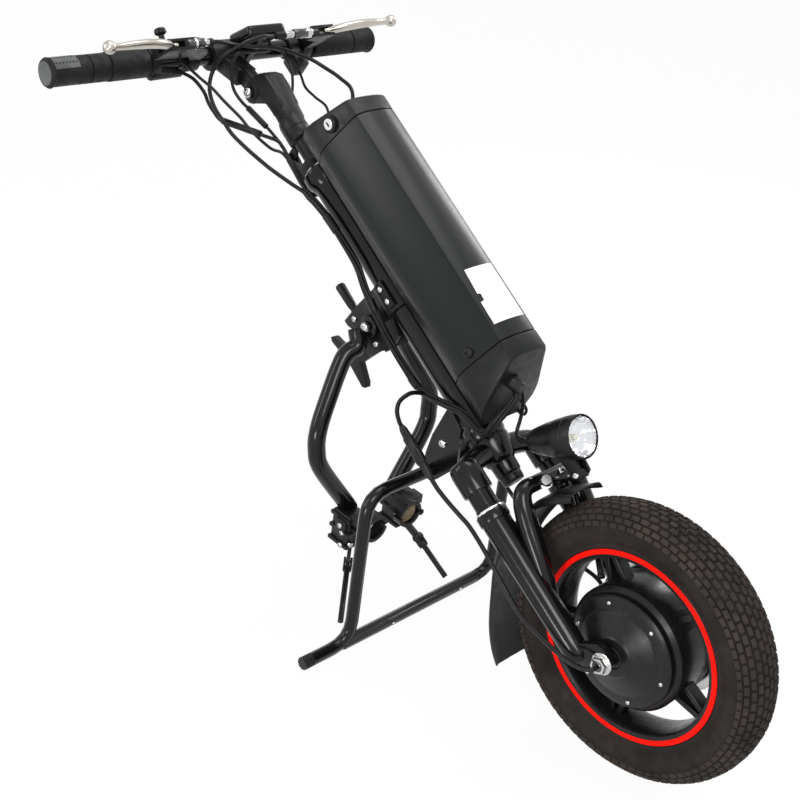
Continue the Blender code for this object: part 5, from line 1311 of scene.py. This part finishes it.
class ATTACHMENT_OT_stem(bpy.types.Operator):
    """Quill, tilting stem and its bolts"""
    bl_idname = "attachment.stem"
    bl_label = "Stem"

    def execute(self, context):
        shaft = [
            (0.0, 0.5750), (0.0100, 0.5750), (0.0110, 0.5762), (0.0110, 0.7060), (0.0158, 0.7080),
            (0.0165, 0.7092), (0.0165, 0.7200), (0.0157, 0.7206), (0.0157, 0.7224), (0.0165, 0.7230),
            (0.0165, 0.7330), (0.0150, 0.7390), (0.0, 0.7400),
        ]
        neck = [
            (-0.0135, 0.7300), (-0.0160, 0.7500), (-0.0190, 0.7720), (-0.0190, 0.7800),
            (0.0060, 0.7800), (0.0060, 0.7620), (0.0075, 0.7300),
        ]
        cheek = [
            (-0.0160, 0.7500), (-0.0195, 0.7780), (-0.0190, 0.7950), (-0.0110, 0.8050), (0.0040, 0.8105)
        ]
        for degrees in range(115, -75, -15):
            angle = math.radians(degrees)
            y, z = 0.0146 * math.cos(angle), 0.0146 * math.sin(angle)
            cheek.append((STEM_PIVOT.y + y, STEM_PIVOT.z + z))
        cheek += [(0.0070, 0.7720), (0.0060, 0.7620), (0.0060, 0.7500)]
        lug = [
            (0.0100, 0.7125), (0.0330, 0.7120), (0.0350, 0.7060), (0.0330, 0.7000), (0.0230, 0.7000),
            (0.0125, 0.7098),
        ]
        filler = [
            (-0.0160, 0.7500), (-0.0195, 0.7780), (-0.0190, 0.7950), (-0.0110, 0.8050),
            (0.0040, 0.8100), (0.0046, 0.7800), (0.0060, 0.7500),
        ]
        shapes = [turned(shaft), side_plate(neck, 0.0, 0.0270, 0.0045)]
        shapes += [side_plate(lug, 0.0, 0.0050), side_plate(filler, 0.0, 0.0152, 0.0004)]
        for side in (-1, 1):
            shapes.append(side_plate(cheek, side * 0.01040, 0.0072, 0.0026))
            inner = STEM_PIVOT + X_AXIS * side * 0.0120
            shapes.append(ridged(inner, inner + X_AXIS * side * 0.0032, 0.0128, 0.0010, 40))
        piece("quill_casting", "quill", "satin", shapes, ["quill_stem"], 45.0)
        dressed("height_lever", "plastic", 0.0008)
        dressed("stem_arm", "satin", 0.0014)
        spots = [(STEM_PIVOT + X_AXIS * side * 0.0183, X_AXIS * side) for side in (-1, 1)]
        screws("stem_bolt_heads", "bar", spots, 0.0064)
        return {"FINISHED"}


def bar_sleeve(profile):
    """Sleeve on the right of the handlebar from (radius, distance from the middle) pairs."""
    return turned(profile, BAR, -X_AXIS, 48, closed=True)


class ATTACHMENT_OT_handlebar(bpy.types.Operator):
    """Handlebar with its grips, throttle and controls"""
    bl_idname = "attachment.handlebar"
    bl_label = "Handlebar"

    def execute(self, context):
        length = BAR_HALF_LENGTH
        tube = [(0.0, -length), (BAR_RADIUS, -length), (BAR_RADIUS, length), (0.0, length)]
        piece("bar_tube", "bar", "gloss", [turned(tube, BAR, X_AXIS)], ["handlebar"])
        end = [
            (0.0, 0.2515), (0.0140, 0.2515), (0.0160, 0.2508), (0.0168, 0.2492), (0.0176, 0.2485),
            (0.0178, 0.2478), (0.0170, 0.2468),
        ]
        outer = end + [(0.0166, 0.2440), (0.0166, 0.2140), (0.0162, 0.2134), (0.0, 0.2134)]
        inner = [
            (0.0111, 0.2132), (0.0163, 0.2132), (0.0167, 0.2126), (0.0167, 0.1990), (0.0155, 0.1986),
            (0.0155, 0.1966), (0.0167, 0.1962), (0.0167, 0.1730), (0.0160, 0.1712), (0.0111, 0.1712),
        ]
        piece("grip_right_end", "bar", "grip", [turned(outer, BAR, -X_AXIS)])
        disc = [(0.0, 0.25152), (0.0136, 0.25152), (0.0140, 0.25140), (0.0140, 0.2508), (0.0, 0.2508)]
        piece("grip_end_disc", "bar", "grey", [turned(disc, BAR, -X_AXIS)])
        self.pad()
        piece("grip_right_sleeve", "bar", "grip", [bar_sleeve(inner)], ["grip_right"])
        self.dots()
        left = end + [
            (0.0163, 0.2440), (0.0163, 0.2140), (0.0150, 0.2134), (0.0150, 0.2112), (0.0163, 0.2106),
            (0.0163, 0.1470), (0.0150, 0.1452), (0.0, 0.1452),
        ]
        piece("grip_left_sleeve", "bar", "grip", [turned(left, BAR, X_AXIS)], ["grip_left"])
        sleeve = [
            (0.0112, 0.1708), (0.0170, 0.1708), (0.0175, 0.1702), (0.0175, 0.1172), (0.0170, 0.1164),
            (0.0112, 0.1164),
        ]
        piece("throttle_grip", "throttle", "grip", [bar_sleeve(sleeve)], ["throttle_sleeve"])
        dressed("throttle_housing", "plastic", 0.0006)
        dressed("switch_box", "plastic", 0.0006)
        dressed("display", "plastic", 0.0006)
        tilt = Matrix.Rotation(DISPLAY_TILT, 4, "X")
        shapes = [block(DISPLAY_CENTRE, (0.0584, 0.0454, 0.0154), 0.0062, tilt, 4)]
        piece("display_hood", "bar", "gloss", shapes)
        up = Vector((0.0, -math.sin(DISPLAY_TILT), math.cos(DISPLAY_TILT)))
        shapes = [block(DISPLAY_CENTRE + up * 0.0076, (0.040, 0.030, 0.0010), 0.0004, tilt)]
        piece("display_window", "bar", "screen", shapes)
        return {"FINISHED"}

    def dots(self):
        """Staggered rows of dots on the grey pad."""
        spots = []
        for row in range(DOT_ROWS):
            around = math.radians(PAD_LOW + (row + 0.5) * (PAD_HIGH - PAD_LOW) / DOT_ROWS)
            out = Vector((0.0, -math.cos(around), math.sin(around)))
            for column in range(DOT_COLUMNS):
                along = X_AXIS * (-0.2165 - (column + 0.5 * (row % 2)) * DOT_PITCH)
                spots.append((BAR + along + out * 0.0171, out, X_AXIS))
        dot = [(0.0, 0.0003), (0.0012, 0.0002), (0.0015, 0.0), (0.0015, -0.0006), (0.0, -0.0006)]
        repeated("grip_dots", "bar", "grip", turned(dot, steps=10), spots)

    def pad(self):
        """Grey pad let into the top of the right grip, a little wider than its dots."""
        low, high = PAD_LOW - PAD_MARGIN, PAD_HIGH + PAD_MARGIN
        sheets = []
        for radius in (0.0168, 0.0172):
            sheet = []
            for x in (-0.2455, -0.2455 + 0.0320):
                line = []
                for step in range(17):
                    around = math.radians(low + (high - low) * step / 16)
                    line.append(BAR + Vector((x, -radius * math.cos(around), radius * math.sin(around))))
                sheet.append(line)
            sheets.append(sheet)
        piece("grip_right_pad", "bar", "grey", [shell_between(sheets)])


def lever_point(x, reach, rise=0.0):
    """Point by the handlebar, forward along the levers' plane and above it."""
    return Vector((x, BAR.y, BAR.z)) + REACH * reach - LEVER_AXIS * rise


class ATTACHMENT_OT_levers(bpy.types.Operator):
    """Brake levers, their perches and cable adjusters, and the parking knob"""
    bl_idname = "attachment.levers"
    bl_label = "Brake levers"

    def execute(self, context):
        for side, name in SIDES:
            dressed("lever_perch_" + name, "plastic", 0.0006)
            path = [
                (0.1140, 0.0675), (0.1230, 0.0690), (0.1360, 0.0785), (0.1550, 0.0870),
                (0.1800, 0.0900), (0.2020, 0.0885), (0.2130, 0.0892),
            ]
            line = curved([lever_point(side * x, reach) for x, reach in path], 0.003)
            count = len(line) - 1
            widths = [
                0.0064 + 0.0024 * math.sin(math.pi * min(1.0, i / count * 1.15)) for i in range(count + 1)
            ]
            shapes = [swept(line, widths, 20, 0.62, LEVER_AXIS)]
            shapes.append(ball(lever_point(side * 0.2160, 0.0895), 0.0078))
            node = "brake_lever_" + name
            piece("lever_blade_" + name, body_of(node), "brushed", shapes, [node], TUBE_SHARP)
        self.adjusters()
        knob = [
            (0.0, 0.0202), (0.0046, 0.0200), (0.0064, 0.0190), (0.0072, 0.0168), (0.0072, 0.0138),
            (0.0060, 0.0126), (0.0035, 0.0112), (0.0034, 0.0004), (0.0, 0.0),
        ]
        shapes = [turned(knob, lever_point(-0.1160, 0.0480, 0.0073), -LEVER_AXIS)]
        piece("parking_button", "knob", "plastic", shapes, ["parking_knob"])
        marks = ((-0.1180, 0.0660), (0.1180, 0.0660), (-0.0600, 0.0300), (-0.1000, 0.0550))
        spots = [(lever_point(x, reach, 0.0071), -LEVER_AXIS) for x, reach in marks]
        screws("perch_screws", "bar", spots, 0.0036)
        return {"FINISHED"}

    def adjusters(self):
        """Barrels and nuts where each brake cable starts, as (near end, far end, radius, finish)."""
        right = (
            (0.0995, 0.0900, 0.0067, "dark_steel"), (0.0896, 0.0862, 0.0071, "chrome"),
            (0.0858, 0.0765, 0.0063, "screen"), (0.0761, 0.0690, 0.0049, "steel"),
            (0.0688, 0.0615, 0.0045, "plastic"),
        )
        left = (
            (0.0925, 0.0840, 0.0065, "steel"), (0.0836, 0.0640, 0.0061, "screen"),
            (0.0636, 0.0500, 0.0049, "steel"), (0.0496, 0.0350, 0.0045, "plastic"),
        )
        for (side, name), steps in zip(SIDES, (right, left)):
            for index, (near, far, radius, material) in enumerate(steps):
                start, end = (lever_point(side * x, ADJUSTER_REACH) for x in (near, far))
                piece(f"adjuster_{name}_{index}", "bar", material, [ridged(start, end, radius)])


# Cables, with their listed routes


def cable(name, route, radius, stretches, nodes=()):
    """Cable cut into stretches, each on one body, or on none where it passes between two.

    A stretch is (end height, body, next body, band), and the last one, with no height, takes the rest.
    """
    line = curved(route, CABLE_SPACING)
    start = 0
    for number, (floor, body, after, band) in enumerate(stretches):
        end = len(line) - 1
        if floor is not None:
            end = next((i for i in range(start + 1, len(line)) if line[i].z <= floor), len(line) - 1)
        if end <= start:
            continue
        shape = swept(line[start : end + 1], radius, CABLE_SIDES)
        replaced = nodes if number == 0 else ()
        bearer = None if after else body
        item = piece(f"{name}_{number}", bearer, "sheath", [shape], replaced, CABLE_SHARP)
        if after:
            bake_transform(item)
        start = end


UPPER = (
    (BAR_TO_QUILL[1], "bar", "quill", BAR_TO_QUILL),
    (QUILL_TO_STEERING[1], "quill", "steering", QUILL_TO_STEERING),
    (COLUMN_TOP_CUT, "steering", "column", STEERING_TO_COLUMN),
)
TO_COLUMN = UPPER + ((None, "column", None, None),)
TO_WHEEL = UPPER + (
    (COLUMN_FOOT_CUT, "column", None, None),
    (COLUMN_TO_STEERING[1], "column", "steering", COLUMN_TO_STEERING),
    (STEERING_TO_LOWERS[1], "steering", "lowers", STEERING_TO_LOWERS),
    (None, "lowers", None, None),
)


class ATTACHMENT_OT_cables(bpy.types.Operator):
    """Every cable, held along the stem and column"""
    bl_idname = "attachment.cables"
    bl_label = "Cables"

    def execute(self, context):
        self.brake_lines(context.scene.attachment_sizes.cable_radius)
        self.control_lines()
        self.display_lines()
        self.light_line()
        self.plugs()
        self.loom()
        self.motor_loop()
        self.lamp_lead()
        self.motor_lead()
        return {"FINISHED"}

    def brake_lines(self, radius):
        """Right brake's cable down to the wheel, and the left one's to the column."""
        start = lever_point(-0.0620, ADJUSTER_REACH)
        right = [
            start, start + Vector((0.006, 0.0, 0.0)), (-0.0450, -0.0195, 0.8500),
            (-0.0260, -0.0121, 0.8509), (0.0040, -0.0071, 0.8491), (0.0330, -0.0068, 0.8450),
            (0.0600, -0.0053, 0.8362), (0.0830, -0.0056, 0.8213), (0.0960, -0.0070, 0.8040),
            (0.1030, -0.0128, 0.7810), (0.1000, -0.0200, 0.7520), (0.0880, 0.0040, 0.7220),
            (0.0660, 0.0200, 0.7040), (0.0500, 0.0225, 0.6940), (0.0480, 0.0190, 0.6700),
            (0.0420, 0.0190, 0.6400), (0.0310, 0.0190, 0.6000), (0.0290, 0.0180, 0.5200),
            (0.0298, 0.0200, 0.4600), (0.0290, 0.0240, 0.4000), (0.0290, 0.0280, 0.3400),
            (0.0292, 0.0380, 0.2800), (0.0298, 0.0460, 0.2400), (0.0305, 0.0458, 0.2110),
            (0.0340, 0.0440, 0.1800), (0.0460, 0.0360, 0.1200), (0.0575, 0.0290, 0.0850),
            (0.0585, 0.0276, 0.0700), (0.0585, 0.0275, 0.0640),
        ]
        nodes = ["brake_cable_right", "brake_cable_lower"]
        cable("brake_line_right", right, radius, TO_WHEEL, nodes)
        start = lever_point(0.0357, ADJUSTER_REACH)
        left = [
            start, start - Vector((0.006, 0.0, 0.0)), (0.0220, -0.0245, 0.8480),
            (0.0060, -0.0273, 0.8458), (-0.0220, -0.0143, 0.8448), (-0.0400, -0.0011, 0.8425),
            (-0.0500, 0.0164, 0.8375), (-0.0570, 0.0273, 0.8259), (-0.0610, 0.0327, 0.8117),
            (-0.0630, 0.0350, 0.7936), (-0.0630, 0.0340, 0.7742), (-0.0610, 0.0350, 0.7561),
            (-0.0580, 0.0304, 0.7315), (-0.0530, 0.0252, 0.7063), (-0.0500, 0.0200, 0.6880),
            (-0.0400, 0.0150, 0.6620), (-0.0300, 0.0110, 0.6400), (-0.0300, 0.0085, 0.6300),
        ]
        cable("brake_line_left", left, radius, TO_COLUMN, nodes=["brake_cable_left"])

    def control_lines(self):
        """Leads of the throttle and of the right brake's switch."""
        exit_point = Vector((-0.0680, 0.0505, 0.8655))
        throttle = [
            exit_point, exit_point + Vector((0.0044, 0.0004, -0.0006)), (-0.0580, 0.0460, 0.8500),
            (-0.0560, 0.0445, 0.8285), (-0.0560, 0.0478, 0.8155), (-0.0560, 0.0479, 0.7998),
            (-0.0540, 0.0461, 0.7840), (-0.0480, 0.0304, 0.7607), (-0.0400, 0.0130, 0.7329),
            (-0.0330, 0.0030, 0.7153), (-0.0310, 0.0030, 0.7080), (-0.0300, 0.0040, 0.6980),
            (-0.0302, 0.0060, 0.6850), (-0.0295, 0.0090, 0.6600), (-0.0292, 0.0105, 0.6300),
        ]
        cable("throttle_line", throttle, 0.0023, TO_COLUMN, nodes=["control_harness"])
        switch = [
            lever_point(-0.0920, 0.0401, -0.0073), lever_point(-0.0920, 0.0401, -0.0120),
            (-0.0900, 0.0074, 0.8398), (-0.0850, 0.0048, 0.8200), (-0.0800, 0.0014, 0.8011),
            (-0.0730, 0.0024, 0.7796), (-0.0680, -0.0009, 0.7532), (-0.0640, 0.0006, 0.7388),
            (-0.0560, 0.0037, 0.7232), (-0.0430, 0.0080, 0.7080), (-0.0340, 0.0065, 0.7000),
            (-0.0308, 0.0065, 0.6850), (-0.0300, 0.0090, 0.6600), (-0.0296, 0.0105, 0.6300),
        ]
        cable("brake_switch_line", switch, 0.0019, TO_COLUMN)

    def display_lines(self):
        """Lead of the display and its branch, from one socket under it."""
        below = Vector((0.0, math.sin(DISPLAY_TILT), -math.cos(DISPLAY_TILT)))
        socket = DISPLAY_CENTRE + X_AXIS * 0.0160
        screen = [
            socket + below * 0.0078, socket + below * 0.0130, (0.0440, 0.0075, 0.8525),
            (0.0200, 0.0060, 0.8510), (-0.0010, 0.0060, 0.8520), (-0.0100, 0.0075, 0.8500),
            (-0.0180, 0.0140, 0.8431), (-0.0250, 0.0202, 0.8300), (-0.0280, 0.0265, 0.8126),
            (-0.0280, 0.0256, 0.7928), (-0.0275, 0.0208, 0.7763), (-0.0260, 0.0159, 0.7532),
            (-0.0255, 0.0125, 0.7369), (-0.0260, 0.0084, 0.7161), (-0.0280, 0.0060, 0.7050),
            (-0.0300, 0.0050, 0.6850), (-0.0290, 0.0085, 0.6600), (-0.0290, 0.0100, 0.6300),
        ]
        cable("display_line", screen, 0.0020, TO_COLUMN)
        branch = [
            socket + below * 0.0120, (0.0500, 0.0062, 0.8530), (0.0555, 0.0030, 0.8430),
            (0.0530, 0.0023, 0.8177), (0.0480, 0.0081, 0.8002), (0.0400, 0.0168, 0.7806),
            (0.0300, 0.0300, 0.7450), (0.0225, 0.0365, 0.7050), (0.0290, 0.0345, 0.6900),
            (0.0345, 0.0295, 0.6750), (0.0335, 0.0250, 0.6500), (0.0325, 0.0230, 0.6350),
        ]
        cable("display_branch", branch, 0.0018, TO_COLUMN)

    def light_line(self):
        """Lead of the light's switch, which ends at the battery."""
        route = [
            (0.1000, 0.0400, 0.8352), (0.1000, 0.0405, 0.8310), (0.0980, 0.0430, 0.8145),
            (0.0940, 0.0338, 0.7911), (0.0880, 0.0204, 0.7625), (0.0720, 0.0220, 0.7330),
            (0.0480, 0.0330, 0.7120), (0.0370, 0.0350, 0.6950), (0.0345, 0.0300, 0.6750),
            (0.0330, 0.0260, 0.6400), (0.0335, 0.0180, 0.6000), (0.0335, 0.0150, 0.5200),
            (0.0340, 0.0160, 0.4500), (0.0340, 0.0160, 0.3900), (0.0345, 0.0050, 0.3300),
            (0.0350, -0.0215, 0.3050), (0.0345, -0.0330, 0.2800), (0.0300, -0.0460, 0.2780),
            (0.0260, -0.0520, 0.2840), (0.0250, -0.0530, 0.2920),
        ]
        cable("switch_line", route, 0.0018, TO_COLUMN, nodes=["switch_cable"])

    def plugs(self):
        """In-line plugs of the throttle's and the display's leads."""
        for name, first, second, size in (
            ("throttle_plug", (-0.0540, 0.0452, 0.7838), (-0.0400, 0.0140, 0.7350), 0.0042),
            ("display_plug", (-0.0278, 0.0222, 0.7810), (-0.0257, 0.0140, 0.7440), 0.0036),
        ):
            item = piece(name, None, "plastic", [ridged(first, second, size, 0.0009, 24)])
            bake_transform(item)

    def loom(self):
        """Twisted bundle of leads down the column and into the battery's base, held by three wraps."""
        end = Vector((-0.0120, -0.0880, 0.3019))
        route = [
            (-0.0290, 0.0110, 0.6440), (-0.0295, 0.0095, 0.6350), (-0.0305, 0.0046, 0.6200),
            (-0.0310, 0.0004, 0.5935), (-0.0310, -0.0008, 0.5590), (-0.0305, 0.0010, 0.5277),
            (-0.0310, 0.0095, 0.5008), (-0.0310, 0.0150, 0.4780), (-0.0305, 0.0200, 0.4500),
            (-0.0300, 0.0225, 0.4200), (-0.0300, 0.0228, 0.3950), (-0.0300, 0.0220, 0.3720),
            (-0.0305, 0.0126, 0.3512), (-0.0320, -0.0050, 0.3300), (-0.0340, -0.0215, 0.3100),
            (-0.0345, -0.0275, 0.2920), (-0.0345, -0.0300, 0.2800), (-0.0345, -0.0400, 0.2730),
            (-0.0340, -0.0550, 0.2750), (-0.0260, -0.0760, 0.2800), (-0.0150, -0.0890, 0.2870),
            end - BASE_NORMAL * 0.0060, end,
        ]
        line = curved(route, 0.003)
        strands = []
        for strand in range(STRAND_COUNT):
            path = []
            for index, point in enumerate(line):
                along = (line[min(index + 1, len(line) - 1)] - line[max(index - 1, 0)]).normalized()
                side = along.cross(X_AXIS).normalized()
                up = side.cross(along)
                angle = math.tau * strand / STRAND_COUNT + index * STRAND_TWIST
                path.append(point + (side * math.cos(angle) + up * math.sin(angle)) * BUNDLE_RADIUS)
            strands.append(swept(path, STRAND_RADIUS, 10))
        piece("loom_strands", "column", "sheath", strands, ["cable_loom"], CABLE_SHARP)
        wraps = []
        for near, far in ((0.10, 0.16), (0.34, 0.38), (0.56, 0.60)):
            part = line[int(near * len(line)) : int(far * len(line))]
            wraps.append(swept(part, WRAP_RADIUS, 16))
        piece("loom_wraps", "column", "sheath", wraps, angle=CABLE_SHARP)

    def motor_loop(self):
        """Loop of the motor's lead from the loom to its in-line plug."""
        route = [
            (-0.0310, 0.0200, 0.3590), (-0.0368, 0.0155, 0.3590), (-0.0400, 0.0153, 0.3605),
            (-0.0520, 0.0157, 0.3632), (-0.0660, 0.0210, 0.3604), (-0.0760, 0.0226, 0.3510),
            (-0.0830, 0.0206, 0.3386), (-0.0868, 0.0172, 0.3312),
        ]
        shapes = [swept(curved(route, 0.002), MOTOR_LEAD_RADIUS)]
        item = piece("motor_lead_loop", None, "sheath", shapes, ["motor_connector"], CABLE_SHARP)
        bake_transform(item)

    def lamp_lead(self):
        """Lead from the battery's base down to the headlight."""
        route = [
            (0.0020, -0.0860, 0.3030), (0.0040, -0.0830, 0.2950), (0.0100, -0.0680, 0.2830),
            (0.0120, -0.0500, 0.2720), (0.0060, -0.0400, 0.2620), LAMP_LEAD_END,
            LAMP_LEAD_END + Vector((0.0, -0.0060, -0.0060)),
        ]
        stretches = (
            (0.2680, "column", "steering", (0.2950, 0.2680)),
            (0.2580, "steering", "lowers", (0.2680, 0.2580)),
            (None, "lowers", "lamp", (0.2580, 0.2530)),
        )
        cable("lamp_line", route, 0.0022, stretches)

    def motor_lead(self):
        """In-line plug of the motor and its lead down the fork to the axle."""
        top, foot = Vector((-0.0868, 0.0172, 0.3315)), Vector((-0.0880, 0.0187, 0.2630))
        length = (foot - top).length
        shell = [
            (0.0, 0.0), (0.0030, 0.0), (0.0046, 0.0050), (0.0052, 0.0140), (0.0062, 0.0150),
            (0.0064, 0.0300), (0.0060, 0.0308), (0.0060, 0.0318), (0.0064, 0.0326), (0.0064, 0.0480),
            (0.0052, 0.0490), (0.0046, 0.0620), (0.0030, length), (0.0, length),
        ]
        piece("motor_plug", "steering", "plastic", [turned(shell, top, foot - top, 32)])
        route = [
            foot + Vector((0.0, 0.0, 0.002)), (-0.0885, 0.0180, 0.2500), (-0.0870, 0.0160, 0.2300),
            (-0.0845, 0.0140, 0.2120), (-0.0825, 0.0119, 0.1942), (-0.0828, 0.0113, 0.1635),
            (-0.0830, 0.0140, 0.1296), (-0.0830, 0.0150, 0.0869), (-0.0835, 0.0030, 0.0507),
            (-0.0840, -0.0070, 0.0290), (-0.0850, -0.0200, 0.0120), (-0.0845, -0.0290, 0.0040),
            (-0.0815, WHEEL_CENTRE.y, 0.0), (-0.0756, WHEEL_CENTRE.y, 0.0),
        ]
        stretches = (
            (PLUG_BAND[0], "steering", None, None),
            (PLUG_BAND[1], "steering", "lowers", PLUG_BAND),
            (None, "lowers", None, None),
        )
        cable("motor_line", route, MOTOR_LEAD_RADIUS, stretches, nodes=["motor_cable"])


class ATTACHMENT_OT_inside(bpy.types.Operator):
    """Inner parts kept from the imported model: windings and cells"""
    bl_idname = "attachment.inside"
    bl_label = "Inner parts"

    def execute(self, context):
        dressed("stator", "copper")
        dressed("cell_pack", "wrap")
        return {"FINISHED"}


# Stage

# Camera, from the wheel's contact with the ground, and its three directions
CAMERA_FROM_CONTACT = Vector((-1.0214, -0.5209, 1.0274))
CAMERA_RIGHT = Vector((0.7150, -0.6860, 0.1346))
CAMERA_DOWN = Vector((-0.2577, -0.4376, -0.8614))
CAMERA_AHEAD = Vector((0.6498, 0.5813, -0.4897))
CAMERA_LENS = 58.5


# Each light's name, place, target, size and power
LIGHTS = (
    ("key_light", (-1.6, -1.9, 2.3), (0.0, 0.0, 0.3), (1.2, 1.2), 42.0),
    ("top_light", (0.4, 0.2, 2.8), (0.0, 0.0, 0.2), (1.6, 1.6), 30.0),
    ("side_light", (-2.2, 1.4, 1.2), (0.0, 0.0, 0.3), (0.5, 1.6), 16.0),
    ("low_light", (-1.9, -0.5, 0.2), (0.0, -0.3, 0.16), (0.5, 0.35), 9.0),
    ("front_light", (1.9, 0.35, 1.35), (0.0, 0.0, 0.5), (0.45, 0.9), 13.0),
)
FLOOR_REACH = 6.0
FLOOR_GREY = 0.86
FLOOR_GLOW = 0.95
SKY_STRENGTH = 0.55


def soft_light(name, place, target, size, power):
    """Area light at a place, turned to a target, with its size in metres and its power in watts."""
    data = bpy.data.lights.new(name, "AREA")
    data.shape = "RECTANGLE"
    data.size, data.size_y = size
    data.energy = power
    item = bpy.data.objects.new(name, data)
    item.location = place
    item.rotation_euler = (Vector(target) - Vector(place)).to_track_quat("-Z", "Y").to_euler()
    bpy.context.scene.collection.objects.link(item)
    return item


def seen_white(tree):
    """One for camera, glossy and transmission rays, and nothing for the light that falls on things."""
    path = tree.nodes.new("ShaderNodeLightPath")
    total = None
    for output in ("Is Camera Ray", "Is Glossy Ray", "Is Transmission Ray"):
        if total is None:
            total = path.outputs[output]
            continue
        join = tree.nodes.new("ShaderNodeMath")
        join.operation = "MAXIMUM"
        tree.links.new(total, join.inputs[0])
        tree.links.new(path.outputs[output], join.inputs[1])
        total = join.outputs[0]
    return total


class ATTACHMENT_OT_stage(bpy.types.Operator):
    """Pale floor, soft lights, white surroundings and the camera"""
    bl_idname = "attachment.stage"
    bl_label = "Stage"

    def execute(self, context):
        scene = context.scene
        scene.view_settings.view_transform = "Standard"
        world = bpy.data.worlds.new("studio")
        scene.world = world
        world.use_nodes = True
        tree = world.node_tree
        background = tree.nodes["Background"]
        background.inputs["Color"].default_value = (1.0, 1.0, 1.0, 1.0)
        strength = tree.nodes.new("ShaderNodeMapRange")
        strength.inputs["To Min"].default_value = SKY_STRENGTH
        strength.inputs["To Max"].default_value = 1.0
        tree.links.new(seen_white(tree), strength.inputs["Value"])
        tree.links.new(strength.outputs["Result"], background.inputs["Strength"])
        mesh = bpy.data.meshes.new("studio_floor")
        corners = [(x * FLOOR_REACH, y * FLOOR_REACH, 0) for x, y in ((-1, -1), (1, -1), (1, 1), (-1, 1))]
        mesh.from_pydata(corners, [], [(0, 1, 2, 3)])
        floor = bpy.data.objects.new("studio_floor", mesh)
        scene.collection.objects.link(floor)
        floor.data.materials.append(self.floor_material())
        for light in LIGHTS:
            soft_light(*light)
        self.camera(scene)
        return {"FINISHED"}

    def floor_material(self):
        """Pale floor that looks white and still keeps the shadow."""
        material = bpy.data.materials.new("pale_floor")
        material.use_nodes = True
        tree = material.node_tree
        shader = tree.nodes["Principled BSDF"]
        shader.inputs["Base Color"].default_value = (FLOOR_GREY, FLOOR_GREY, FLOOR_GREY, 1.0)
        shader.inputs["Roughness"].default_value = 0.9
        glow = tree.nodes.new("ShaderNodeEmission")
        glow.inputs["Color"].default_value = (1.0, 1.0, 1.0, 1.0)
        mix = tree.nodes.new("ShaderNodeMixShader")
        share = tree.nodes.new("ShaderNodeMapRange")
        share.inputs["To Max"].default_value = FLOOR_GLOW
        tree.links.new(seen_white(tree), share.inputs["Value"])
        tree.links.new(share.outputs["Result"], mix.inputs["Fac"])
        tree.links.new(shader.outputs["BSDF"], mix.inputs[1])
        tree.links.new(glow.outputs["Emission"], mix.inputs[2])
        tree.links.new(mix.outputs["Shader"], tree.nodes["Material Output"].inputs["Surface"])
        return material

    def camera(self, scene):
        """Camera where the photograph was taken from."""
        data = bpy.data.cameras.new("photo_camera")
        data.lens = CAMERA_LENS
        data.sensor_width = 36.0
        data.clip_start = 0.01
        item = bpy.data.objects.new("photo_camera", data)
        axes = (CAMERA_RIGHT.normalized(), -CAMERA_DOWN.normalized(), -CAMERA_AHEAD.normalized())
        place = CAMERA_FROM_CONTACT + Vector((0.0, WHEEL_Y, 0.0))
        item.matrix_world = Matrix.Translation(place) @ Matrix(axes).transposed().to_4x4()
        scene.collection.objects.link(item)
        scene.camera = item


STEPS = (
    ATTACHMENT_OT_stage,
    ATTACHMENT_OT_tyre,
    ATTACHMENT_OT_wheel,
    ATTACHMENT_OT_fork,
    ATTACHMENT_OT_mudguard,
    ATTACHMENT_OT_headlight,
    ATTACHMENT_OT_battery,
    ATTACHMENT_OT_column,
    ATTACHMENT_OT_stand,
    ATTACHMENT_OT_docking,
    ATTACHMENT_OT_stem,
    ATTACHMENT_OT_handlebar,
    ATTACHMENT_OT_levers,
    ATTACHMENT_OT_cables,
    ATTACHMENT_OT_inside,
)


class ATTACHMENT_PT_pieces(bpy.types.Panel):
    """Sidebar list of the attachment's pieces"""
    bl_label = "Power attachment"
    bl_idname = "ATTACHMENT_PT_pieces"
    bl_space_type = "VIEW_3D"
    bl_region_type = "UI"
    bl_category = "Attachment"

    def draw(self, context):
        layout = self.layout
        for group in (context.scene.attachment_sizes, context.scene.attachment_colours):
            for name in group.__annotations__:
                layout.prop(group, name)
        for step in STEPS:
            layout.operator(step.bl_idname)


CLASSES = (AttachmentSizes, AttachmentColours, *STEPS, ATTACHMENT_PT_pieces)


def register():
    """Makes the property groups, the operators and the panel known to Blender."""
    for item in CLASSES:
        bpy.utils.register_class(item)
    bpy.types.Scene.attachment_sizes = PointerProperty(type=AttachmentSizes)
    bpy.types.Scene.attachment_colours = PointerProperty(type=AttachmentColours)


def unregister():
    """Takes them away again."""
    del bpy.types.Scene.attachment_colours
    del bpy.types.Scene.attachment_sizes
    for item in reversed(CLASSES):
        bpy.utils.unregister_class(item)


def main():
    """Builds every piece."""
    register()
    FINISH.update(make_finishes())
    for step in STEPS:
        group, name = step.bl_idname.split(".")
        getattr(getattr(bpy.ops, group), name)()


if __name__ == "__main__":
    main()
